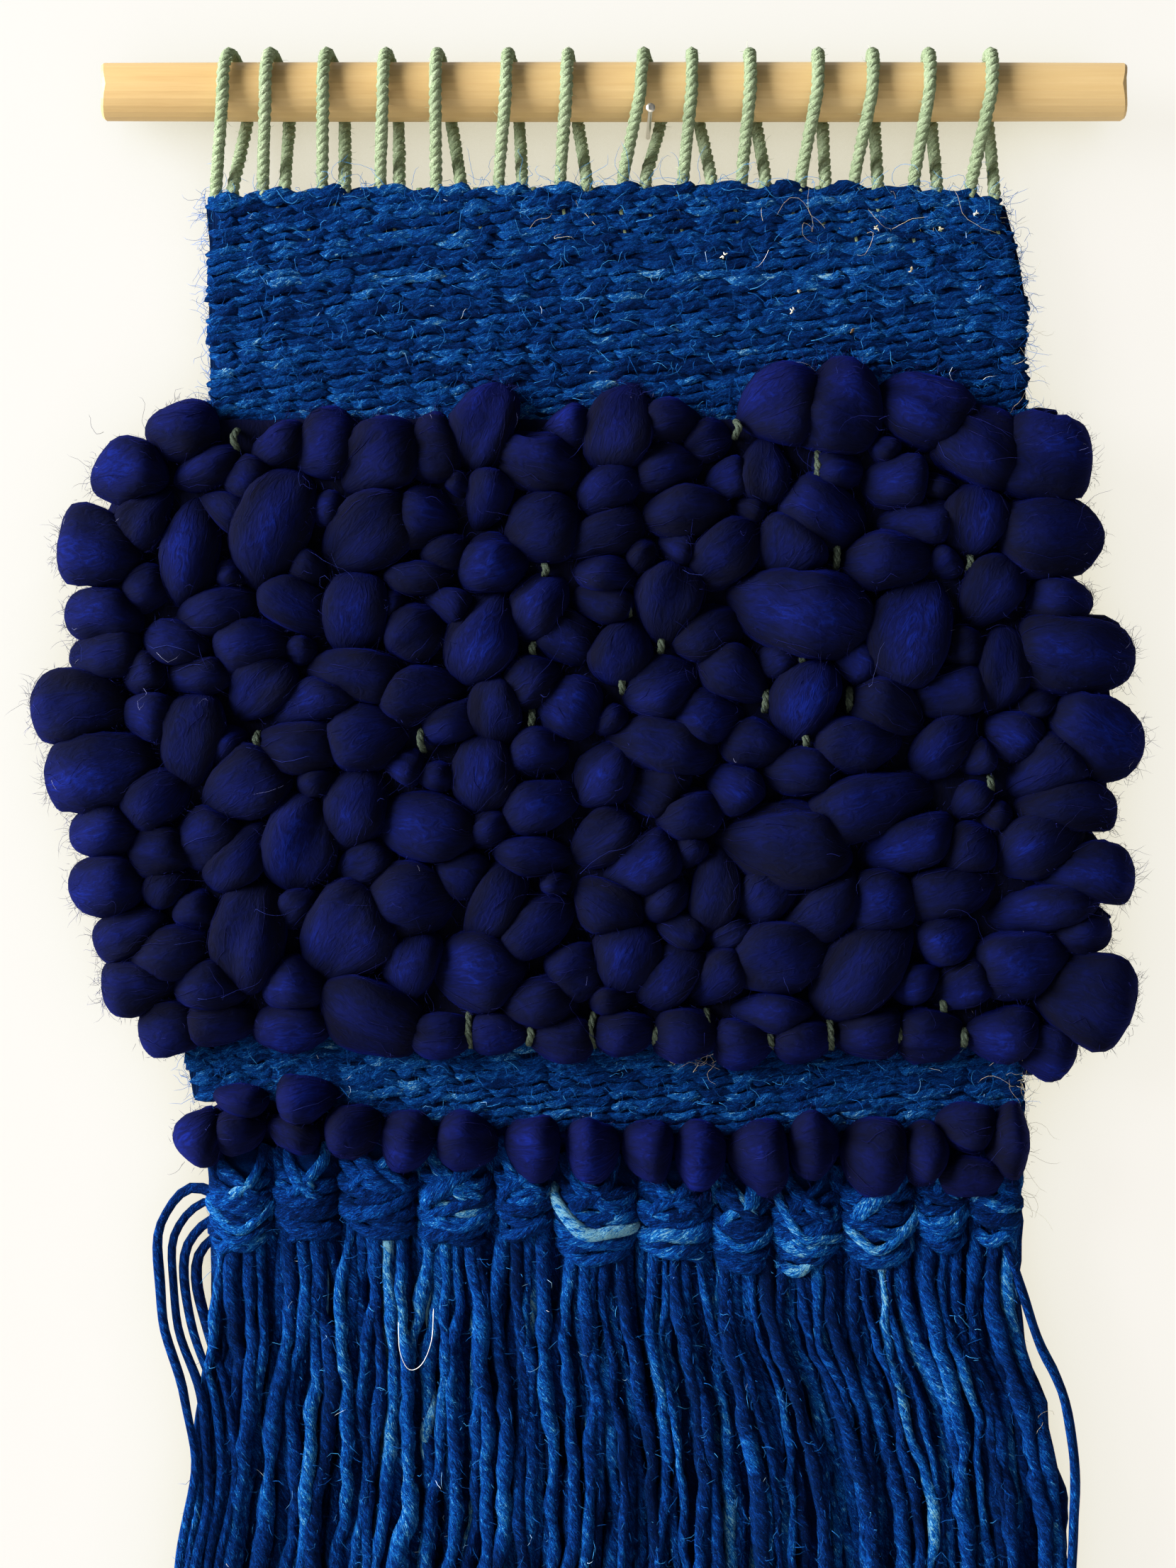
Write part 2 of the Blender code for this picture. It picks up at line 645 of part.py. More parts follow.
def strand_path(root, u, layer, tip_z, draw):
    """From a knot to the tip, in its own lane of the fringe."""
    path = []
    for t in STRAND_STATIONS:
        z = root.z + (tip_z - root.z) * t
        left, right = down(FRINGE_EDGES, z, 1), down(FRINGE_EDGES, z, 2)
        lane_x = left + (right - left) * u + sway(u, t)
        spread = smoothstep(t / SPREAD_BY)
        x = root.x * (1 - spread) + lane_x * spread
        y = HANG_Y + layer * (LAYER_OFFSET + 0.5 * math.sin(math.pi * t)) + draw.uniform(-0.35, 0.35)
        path.append(Vector((x, y, z)))
    return path


def grow_strand(bm, face, path, width, depth):
    """Draws a face out along a path as a four-sided strand."""
    start = face.calc_center_median()
    previous = list(face.verts)
    bm.faces.remove(face)
    route = [start] + path
    for index, place in enumerate(path, 1):
        heading = (route[min(index + 1, len(route) - 1)] - route[index - 1]).normalized()
        side = heading.cross(Vector((0, 1, 0))).normalized()
        deep = heading.cross(side).normalized()
        taper = 1.0 - STRAND_TAPER * index / len(path)
        corners = [
            place + side * (sx * width * taper / 2) + deep * (sd * depth * taper / 2)
            for sx, sd in ((-1, -1), (1, -1), (1, 1), (-1, 1))
        ]
        step = place - sum((v.co for v in previous), Vector()) / 4
        orders = [[corners[(k + d * i) % 4] for i in range(4)] for k in range(4) for d in (1, -1)]
        twists = [sum((p - v.co - step).length for p, v in zip(order, previous)) for order in orders]
        ring = [bm.verts.new(p) for p in orders[twists.index(min(twists))]]
        for i in range(4):
            j = (i + 1) % 4
            bm.faces.new((previous[i], previous[j], ring[j], ring[i]))
        previous = ring
    bm.faces.new(previous)


def knot_ring(left, right, share, across):
    """One level of a knot seen from above: front points from left to right, a side point, back points, a
    side point."""
    middle, half = (left + right) / 2, (right - left) / 2 - GAP / 2 - 0.05
    half_depth = KNOT_HALF_DEPTH * share
    spans = [-1 + 2 * i / across for i in range(across + 1)]
    reach = 0.9 * half * share
    front = [(middle + reach * s, HANG_Y - half_depth * math.sqrt(1 - 0.62 * s * s)) for s in spans]
    back = [(x, 2 * HANG_Y - y) for x, y in reversed(front)]
    return front + [(middle + half * share, HANG_Y)] + back + [(middle - half * share, HANG_Y)]


def build_fringe_knot(index, row, row_edge, first_lane, lanes, draw):
    left, right, bottom_z, across = row
    bm = bmesh.new()
    rings = []
    for drop, wide in KNOT_RINGS:
        ring = []
        for x, y in knot_ring(left, right, wide, across):
            top_z = min(along(row_edge, x + side) for side in KNOT_CLEARANCE) - GAP
            ring.append(bm.verts.new((x, y, top_z + (bottom_z - top_z) * drop)))
        rings.append(ring)
    size = len(rings[0])
    side_faces = []
    for upper, lower in zip(rings, rings[1:]):
        for i in range(size):
            j = (i + 1) % size
            made = bm.faces.new((upper[i], upper[j], lower[j], lower[i]))
            if i == size - 1:
                side_faces.append(made)
    bm.faces.new(rings[0])

    last = rings[-1]
    front, back = last[: across + 1], last[across + 2 : 2 * across + 3][::-1]
    middle = [last[-1]]
    for i in range(1, across):
        middle.append(bm.verts.new((front[i].co + back[i].co) / 2))
    middle.append(last[across + 1])
    cells = []
    for i in range(across):
        cells.append((bm.faces.new((front[i], front[i + 1], middle[i + 1], middle[i])), i, -1))
        cells.append((bm.faces.new((middle[i], middle[i + 1], back[i + 1], back[i])), i, 1))
    for face, column, layer in cells:
        u = (first_lane + column + 0.25 + 0.5 * (layer > 0)) / lanes
        root = face.calc_center_median()
        tip = FRINGE_END_Z + draw.uniform(0, UNEVEN_ENDS)
        grow_strand(bm, face, strand_path(root, u, layer, tip, draw), STRAND_WIDTH, STRAND_DEPTH)
    if index == 1:
        for rank, face in enumerate(side_faces[1:4]):
            grow_bowed_strand(bm, face, rank)
    return finish_mesh(f"fringe_{index:02d}", bm, "fringe_wool")


def grow_bowed_strand(bm, face, rank):
    """A loose strand that springs out at the left of the first knot and falls back over the others."""
    first_z = BOW[0][0]
    path = []
    for z, x, y in BOW:
        drop = BOW_DROP * rank * math.exp((z - first_z) / BOW_DROP_FADE)
        path.append(Vector((x + rank * BOW_PITCH, y, z - drop)))
    grow_strand(bm, face, path, BOW_WIDTH, STRAND_DEPTH)


def build_fringe(row_outline):
    """Twelve knots side by side, each hung close under the row of tufts."""
    draw = random.Random(FRINGE_SEED)
    row_edge = sorted(point for point in row_outline if point[1] < ROW_SPINE["z"])
    lanes = sum(row[3] for row in KNOTS)
    lane = 0
    for index, row in enumerate(KNOTS, 1):
        build_fringe_knot(index, row, row_edge, lane, lanes, draw)
        lane += row[3]


def main():
    clear_scene()
    build_dowel()
    build_nail()
    for index, row in enumerate(WARP_LOOPS, 1):
        build_warp_loop(index, row)
    build_band("upper_band", UPPER_TOP, UPPER_BOTTOM, UPPER_SIDES, 3)
    build_band("lower_band", LOWER_TOP, LOWER_BOTTOM, LOWER_SIDES, 2)
    upper = build_cutter("upper_band_room", UPPER_TOP, UPPER_BOTTOM)
    lower = build_cutter("lower_band_room", LOWER_TOP, LOWER_BOTTOM)
    build_tufted("roving_block", block_tufts(), BLOCK_SPINE, (upper, lower))
    row_tufts = [tuft(x, z, a, b, ROW_DEPTH, tilt) for x, z, a, b, tilt in ROW_TUFTS]
    row_outline = build_tufted("roving_row", row_tufts, ROW_SPINE, (lower,))
    build_fringe(row_outline)


main()
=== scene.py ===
"""The woven wall hanging as it looks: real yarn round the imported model's frame.

Every piece is made in millimetres in the frame's own axes and turned into metres at the end. The wall is at
Y = 0, the hanging is in front of it at -Y, and a yarn is a tube that carries its own fibre direction.
"""

import math

import bpy
import numpy as np
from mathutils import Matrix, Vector


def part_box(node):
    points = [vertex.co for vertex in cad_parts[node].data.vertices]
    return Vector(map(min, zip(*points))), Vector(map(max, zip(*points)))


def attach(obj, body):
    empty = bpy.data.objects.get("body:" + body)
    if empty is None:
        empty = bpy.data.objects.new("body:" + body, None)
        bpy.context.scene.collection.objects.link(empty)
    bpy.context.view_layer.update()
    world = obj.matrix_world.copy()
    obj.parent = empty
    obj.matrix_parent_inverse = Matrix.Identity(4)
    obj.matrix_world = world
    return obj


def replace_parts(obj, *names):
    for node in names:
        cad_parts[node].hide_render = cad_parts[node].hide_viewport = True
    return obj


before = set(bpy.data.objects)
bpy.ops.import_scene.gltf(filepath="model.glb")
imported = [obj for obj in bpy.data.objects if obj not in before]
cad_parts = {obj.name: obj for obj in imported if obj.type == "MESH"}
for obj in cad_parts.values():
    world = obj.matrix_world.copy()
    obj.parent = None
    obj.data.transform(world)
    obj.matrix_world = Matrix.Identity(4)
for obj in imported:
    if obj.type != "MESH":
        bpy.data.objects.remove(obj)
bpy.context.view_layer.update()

MM = 0.001
TURN = 2 * math.pi
RUN_START = 500.0  # a yarn's fibres start somewhere in this many millimetres of their pattern
HAIR_UP = (0.31, 0.52, 0.79)  # any direction that no hair keeps to


def node_box(name):
    """A CAD node's lowest and highest corner in millimetres."""
    low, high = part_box(name)
    return np.array(low) / MM, np.array(high) / MM


DOWEL_LOW, DOWEL_HIGH = node_box("dowel")
DOWEL_RADIUS = (DOWEL_HIGH[2] - DOWEL_LOW[2]) / 2
DOWEL_Z = (DOWEL_HIGH[2] + DOWEL_LOW[2]) / 2
HANG_Y = (DOWEL_HIGH[1] + DOWEL_LOW[1]) / 2  # the plane that everything hangs in

# Warp
WARP_RADIUS = 1.9
PLY_TURN = 7.2  # mm in which its plies go round once
PLY_OFFSET, PLY_RADIUS = 0.9, 1.04
LOOP_GAP = 0.25  # between the loops and the dowel
FOOT_DEPTH = 1.6  # how far the loops' ends are sunk in the band
LOOP_HAIRS = 62  # on each loop
WARP_SEED = 3
WARP_LOOPS = (  # x at the weave in front, over the dowel, under it behind, at the weave behind
    (-120.6, -116.3, -113.2, -115.9), (-107.6, -105, -101.5, -101.5), (-91.1, -89.4, -85.9, -84.9),
    (-74.9, -72.9, -70.7, -69.7), (-59.4, -58.8, -55.9, -52.8), (-41.8, -39, -36.6, -35.5),
    (-24.7, -22.5, -20.2, -17.6), (-7.1, -1.3, 3.9, -0.7), (9.6, 11.9, 14.1, 17.1),
    (25.9, 27.9, 30.2, 32.3), (42.5, 46.9, 49.1, 49.1), (57.4, 62, 63.8, 63.7), (73.9, 77.5, 79.9, 80.2),
    (89.9, 94.8, 96.1, 96.2),
)
WARP_ENDS = 2 * len(WARP_LOOPS)
FLOAT_POINTS = 5  # points of the weft over each warp end
CORE_HALF_THICKNESS = 0.7  # of the dark cloth under the weft, painted shade between its floats

# Bands: x, z along each edge, and z, left x, right x down the sides
BANDS = {
    "upper": {
        "top": (
            (-124, -21.4), (-108, -19.2), (-75, -18.0), (-17, -17.6), (58, -17.4), (90, -19.2), (99, -21.6)
        ),
        "bottom": ((-124, -86.0), (106, -86.0)),
        "sides": (
            (-21, -123.7, 98.7), (-35, -122.4, 102.5), (-50, -122.8, 105.1), (-66, -122.4, 104.7),
            (-86, -122.0, 105.3),
        ),
        "picks": 54,
        "seed": 7,
    },
    "lower": {
        "top": ((-132, -249.5), (106, -252.5)),
        "bottom": ((-127, -272.0), (-95, -272.0), (-80, -276.0), (-55, -279.5), (0, -281.0), (104, -280.0)),
        "sides": ((-249, -131.0, 104.6), (-262, -128.6, 103.6), (-280, -125.6, 104.4)),
        "picks": 22,
        "seed": 8,
    },
}

BAND_TONES = (  # z, dye: where the dyed yarn of the upper band runs paler or darker
    (-20, 0.03), (-32, 0), (-37.5, -0.09), (-42.4, 0.13), (-46, 0.03), (-49.5, 0.02), (-53.4, -0.09),
    (-56.6, 0.08), (-60, 0.02), (-64, 0.02), (-69, -0.13), (-74.5, 0), (-280, 0),
)

# Wool tufts of the block
TUFT_TOP_Z, TUFT_BOTTOM_Z = -84.0, -251.0
TUFT_SEED, BLOCK_SEED, ROW_SEED, BEHIND_SEED = 11, 31, 33, 5
TUFT_SWELL, ROW_SWELL = 1.29, 1.06  # how far the soft wool fills out past the tables' sizes
SHADE_REACH = 3.2  # mm over which painted shade darkens a tuft towards its neighbour
PRESSING = 1.35  # tufts whose long axes are closer than their half widths times this press on each other
FREE_TUFT_RADII = (8.5, 7.4, 6.4, 5.6, 4.8, 4.2)  # of the smaller tufts between those of the tables
FREE_TUFT_TRIES = 1100  # for each of the radii
BACK_SHIFT, BACK_DEPTH = 8.0, 10.0  # how far the back's tufts sit to the right, and their depth at most
BEHIND_INSET = 8.0  # how far inside the turns the wool between the tufts ends
# a deep gap down the block, which no small tuft fills
CREVICE_X, CREVICE_TOP_Z, CREVICE_BOTTOM_Z = -18.2, -120.0, -234.0
LEFT_TURNS = (  # reach x, centre z, height of the tufts where a row turns back at the left
    (-140.5, -86.5, 15), (-155.2, -99.8, 16.5), (-164.3, -119.5, 20), (-162.5, -136.8, 15),
    (-161.2, -149, 14), (-171.8, -162.8, 18), (-168.1, -180.4, 20), (-161.2, -197, 15.5),
    (-161.5, -211, 16), (-154.8, -225, 14.5), (-152.1, -238.5, 15.5), (-142, -250.5, 13),
)
RIGHT_TURNS = (  # the same at the right
    (122.9, -94.2, 21), (126.5, -115.6, 23), (123.3, -132.9, 13), (135.1, -148.1, 23), (137.9, -170.6, 22),
    (130, -191.2, 19.5), (134.8, -209.6, 18.5), (128.4, -224.5, 13), (135.1, -242, 23), (119, -256, 13.5),
)
LARGE_TUFTS = (  # x, z, half length, half width, tilt in degrees of the tufts that stand out
    (-104, -114, 14, 10, 72), (-127, -120, 13, 8, 80), (-139, -111, 8, 6, 55), (-122, -97, 8, 5, 20),
    (-74, -95, 10, 8, 35), (-78, -115, 12, 9, 40), (-45, -87, 10, 8, 75), (-32, -94, 10, 7, -12),
    (-45, -105, 8, 6, 70), (-30, -113, 9, 8, 25), (-44, -123, 9, 8, 20), (-64, -127, 8, 5, 0),
    (-82, -137, 10, 8, 80), (-65, -142, 8, 7, 40), (-46, -143, 11, 9, 65), (-30, -135, 8, 7, 50),
    (-110, -146, 9, 7, 10), (-125, -153, 8, 5, 10), (-80, -154, 12, 7, -8), (-64, -159, 11, 8, 5),
    (-127, -172, 11, 8, 80), (-79, -171, 11, 10, 20), (-42, -164, 9, 7, 80), (-33, -157, 7, 6, 30),
    (-111, -185, 11, 9, 28), (-136, -188, 9, 7, 40), (-46, -180, 10, 8, 80), (-32, -176, 7, 6, 10),
    (-82, -190, 10, 8, 70), (-96, -200, 12, 9, 75), (-62, -196, 12, 9, -10), (-30, -190, 9, 6, 22),
    (-32, -204, 9, 6, 0), (-113, -204, 9, 6, 48), (-66, -216, 11, 9, 10), (-42, -216, 11, 8, 65),
    (-31, -223, 10, 7, 32), (-132, -230, 10, 7, 5), (-110, -226, 13, 9, 80), (-84, -225, 13, 11, 55),
    (-66, -235, 9, 7, 80), (-47, -235, 11, 10, 5), (-31, -245, 9, 7, 15), (-75, -247, 15, 9, -25),
    (-8, -87, 10, 9, 75), (5, -97, 8, 6, 15), (38, -80, 10, 9, 20), (51, -83, 11, 10, -15),
    (77, -82, 12, 8, -20), (90, -90, 13, 9, -32), (10, -109, 10, 6, 10), (48, -110, 10, 8, -20),
    (38, -119, 9, 8, 60), (66, -122, 10, 7, 5), (89, -112, 9, 8, 80), (32, -97, 8, 6, 85),
    (5, -134, 10, 8, 80), (42, -137, 16, 11, -14), (73, -143, 14, 11, 75), (-7, -146, 8, 7, 70),
    (94, -131, 9, 7, 60), (4, -157, 9, 8, 20), (96, -152, 10, 7, 85), (44, -161, 10, 8, 70),
    (66, -164, 9, 7, -20), (3, -174, 12, 7, -8), (57, -173, 10, 7, 10), (81, -174, 9, 7, 40),
    (109, -180, 9, 8, 35), (42, -181, 9, 6, -5), (60, -189, 14, 8, 14), (37, -200, 15, 12, -5),
    (71, -200, 11, 7, 22), (108, -201, 10, 8, 28), (18, -213, 10, 7, 80), (-2, -206, 9, 7, 32),
    (83, -214, 11, 7, 15), (108, -219, 12, 7, 8), (46, -219, 11, 8, 35), (36, -231, 12, 9, 15),
    (19, -238, 9, 6, 42), (59, -236, 14, 9, 48), (102, -233, 12, 9, 10), (-7, -232, 9, 8, 70),
    (34, -248, 10, 7, -8), (86, -240, 8, 6, 20), (-118, -249, 9, 6, 0), (-99, -250, 9, 6, 5),
    (-58, -252, 8, 5, 0), (-41, -252, 8, 5, 8), (-24, -253, 8, 5, 0), (-7, -252, 8, 5, 5),
    (10, -253, 8, 6, 0), (26, -254, 8, 6, 5), (43, -253, 8, 6, 0), (60, -252, 8, 6, 8), (78, -253, 8, 6, 0),
    (97, -252, 9, 6, 5),
)
WARP_GLIMPSES = (  # x, z, length where the warp shows between the tufts
    (-114, -89, 5), (-70, -87, 4), (-29, -125, 3), (-32, -147, 4), (-33, -166, 5), (-63, -172, 5),
    (-108, -172, 4), (24, -86, 4), (46, -97, 9), (52, -121, 6), (88, -123, 4), (-6, -136, 3), (3, -146, 4),
    (-8, -156, 5), (42, -150, 4), (43, -161, 6), (32, -161, 5), (55, -161, 6), (43, -172, 4),
    (108, -144, 7), (94, -184, 4), (81, -245, 4), (-50, -252, 8), (-33, -253, 5), (-16, -252, 8),
    (2, -253, 5), (16, -251, 8), (33, -254, 5), (50, -253, 7), (69, -253, 5), (87, -254, 4),
)
ROW_TUFTS = (  # single row: x, z, half width, half height, tilt in degrees
    (-123.5, -280.5, 8.5, 8, 35), (-114, -280, 8.5, 6.6, 10), (-113, -271.5, 8, 5.6, -5),
    (-99, -280.5, 8, 6, -20), (-95, -272, 9, 7.2, 10), (-82, -279.5, 8.8, 7.8, 15),
    (-67, -281.5, 8, 8.6, -10), (-50.5, -283.5, 9.2, 8.4, 0), (-32.5, -283.5, 8.2, 8.4, 0),
    (-15.5, -284, 7.9, 8.8, 5), (-0.5, -284, 7.9, 8.5, 0), (14.2, -285.5, 7.6, 9, 0),
    (30, -285.5, 9.2, 9.8, 10), (45.5, -284.5, 7.4, 9, 0), (63, -286.5, 10.8, 10.6, -15),
    (76.5, -286, 8.5, 9, 0), (88, -280, 9.4, 7.2, -5), (88, -291, 11.5, 6.2, 0), (98, -284, 7, 10.8, 0),
)

# Rya knots: left x, right x, bottom z
KNOTS = (
    (-122.2, -104.4, -310.5), (-104.4, -86.1, -310), (-86.1, -64.4, -306.5), (-64.4, -43.1, -310),
    (-43.1, -26.3, -308.5), (-26.3, -3.5, -313), (-3.5, 17.4, -313.5), (17.4, 34.2, -316),
    (34.2, 52.8, -315), (52.8, 73.7, -313.5), (73.7, 88.4, -309), (88.4, 103.4, -308),
)
KNOT_HEIGHT, KNOT_WRAPS = 17, 8
FRINGE_LEFT, FRINGE_WIDTH, FRINGE_END_Z = -122.2, 225.6, -500.0
FRINGE_LAYERS = ((-6.2, 13), (-3.4, 14), (-0.4, 14), (2.8, 13), (5.4, 12))  # y, strands; from front to back
FRONT_RANKS = 2  # layers that count as the front
FRINGE_HAIRS = 6000
FRINGE_SEED, FUZZ_SEED = 21, 77
PALE_WRAPS = (  # pale yarn round a knot: x, z of its left end, lowest point, right end; half thickness, dye
    (-122, -300, -113, -307, -104.5, -300.5, 1.5, 0.66),
    (-121, -304.5, -113.5, -310, -105.5, -305, 1.4, 0.56), (-62, -301, -53, -306.5, -44, -302.5, 1.4, 0.52),
    (-26.6, -298, -17, -308.2, -4.2, -306.6, 2, 1), (18, -307, 26, -312, 33.5, -307, 1.4, 0.60),
    (35.5, -298, 43, -309.5, 53, -309.5, 1.6, 0.70), (36, -303, 43.5, -313, 51.5, -312, 1.4, 0.60),
    (54.5, -306, 63, -312.6, 74, -303.5, 1.5, 0.72), (74.5, -303, 81, -307.5, 88, -302, 1.4, 0.56),
)
FRINGE_EDGES = (  # z, left x, right x of the outer strands' middles
    (-300, -120.5, 101), (-329, -121.5, 102.6), (-341, -122, 104.6), (-356, -124, 110), (-374, -125, 112.6),
    (-388, -127, 114.4), (-402, -129.5, 115.2), (-450, -131, 115.6), (-510, -132, 116.5),
)
BOW = (  # z, x, y of the outermost of the loose strands that bow out at the left
    (-296.5, -127, -13.4), (-302, -133, -14.2), (-312, -136.3, -15.4), (-332, -134, -17.8),
    (-350, -127.6, -21.6), (-364, -126, -22), (-380, -125.6, -22), (-404, -129.4, -22),
    (-450, -131.4, -21.8), (-497, -132.5, -21.5),
)
BOWS = 4  # strands that bow out at the left
BOW_RIGHT = (  # the same at the right
    (-309, 98, -17), (-322, 101.8, -18.5), (-338, 107, -20), (-347, 111.4, -20.3), (-356, 114.4, -20.6),
    (-373, 116.6, -21), (-388, 116.4, -21), (-404, 115.6, -20.8), (-430, 115.4, -20.6),
    (-460, 116.5, -20.4), (-496, 117, -20.2),
)

PALE_FIBRES = (  # undyed fibres: count, low corner x z, high corner x z, depth in front, way x z, reach
    (20, (30, -31), (98, -29), 1.5, (0.3, 1.3), 24.0),
    (8, (-120, -31), (30, -29), 1.5, (0.0, 1.3), 14.0),
    (18, (97, -84), (100, -34), 0.5, (1.2, 0.0), 20.0),
    (110, (97, -300), (104, -250), 1.0, (0.7, 0.0), 16.0),
    (16, (6, -262), (21, -257), 4.0, (0.4, 0.3), 12.0),
    (14, (103, -470), (114, -345), 6.0, (0.8, 0.0), 12.0),
)
WHITE_HAIR = (  # x, z of a white hair caught in the fringe
    (-68.8, -331), (-68.4, -339), (-66, -343.8), (-62.5, -342.5), (-59.8, -336), (-59.2, -327),
)
FLECKS = (  # x, z, tone of bits of undyed wool caught in the upper band, 0 brown to 1 white
    (20.7, -37.3, 1), (39.8, -52.8, 0.9), (41.3, -47.5, 0.6), (56.3, -58.3, 0.05), (72.9, -41.6, 0.5),
    (63, -29.7, 0.7), (80.8, -29.7, 0.7), (90.6, -25.8, 1),
)


# ---------------- curves and noise


def along(table, x, column=1):
    """A table's values at x, on straight lines between its rows."""
    rows = sorted(table)
    return np.interp(x, [row[0] for row in rows], [row[column] for row in rows])


def smoothstep(t):
    t = np.clip(t, 0.0, 1.0)
    return t * t * (3 - 2 * t)


def blend(a, b, t):
    """From a where t is 0 to b where it is 1."""
    return a * (1 - t) + b * t


def xyz(x, y, z):
    """Points from their coordinates, each a number or an array."""
    return np.stack(np.broadcast_arrays(x, y, z), axis=-1)


def drift(rng, s, reach, count=1):
    """Smooth noise between -1 and 1 that changes over each reach of s, for each row of s or count rows."""
    s = np.atleast_2d(s)
    count = max(count, len(s))
    s = np.broadcast_to(s, (count, s.shape[1]))
    start = s.min()
    knots = rng.uniform(-1, 1, (count, int((s.max() - start) / reach) + 3))
    place = (s - start) / reach
    left = place.astype(int)
    share = smoothstep(place - left)
    rows = np.arange(count)[:, None]
    return blend(knots[rows, left], knots[rows, left + 1], share)


def unit(v):
    return v / np.maximum(np.linalg.norm(v, axis=-1, keepdims=True), 1e-9)


def lengths(paths):
    """How far along each path (..., points, 3) its points lie."""
    steps = np.linalg.norm(np.diff(paths, axis=-2), axis=-1)
    return np.concatenate([np.zeros_like(steps[..., :1]), np.cumsum(steps, axis=-1)], axis=-1)


def directions(paths, up):
    """Unit vectors along paths (..., points, 3), across them and across up, and across both."""
    tangent = unit(np.gradient(paths, axis=-2))
    side = unit(np.cross(np.broadcast_to(up, tangent.shape), tangent))
    return tangent, side, np.cross(tangent, side)


def smooth_path(points, count):
    """A smooth curve of count points through a few, evenly spaced along it."""
    points = np.array(points, float)
    padded = np.vstack([2 * points[0] - points[1], points, 2 * points[-1] - points[-2]])
    pieces = []
    t = np.linspace(0, 1, 24, endpoint=False)[:, None]
    for a, b, c, d in zip(padded, padded[1:], padded[2:], padded[3:]):
        cubic = (2 * a - 5 * b + 4 * c - d) * t**2 + (3 * b - a - 3 * c + d) * t**3
        pieces.append(0.5 * (2 * b + (c - a) * t + cubic))
    dense = np.vstack([*pieces, points[-1:]])
    s = lengths(dense)
    even = np.linspace(0, s[-1], count)
    return np.stack([np.interp(even, s, dense[:, k]) for k in range(3)], axis=1)


# ---------------- meshes


def round_tubes(index):
    """The four-sided faces round tubes, from the numbers of their points (tubes, rings, sides)."""
    turned = np.roll(index, -1, axis=2)
    return np.stack([index[:, :-1], turned[:, :-1], turned[:, 1:], index[:, 1:]], axis=-1)


def link(name, data):
    obj = bpy.data.objects.new(name, data)
    bpy.context.scene.collection.objects.link(obj)
    return obj


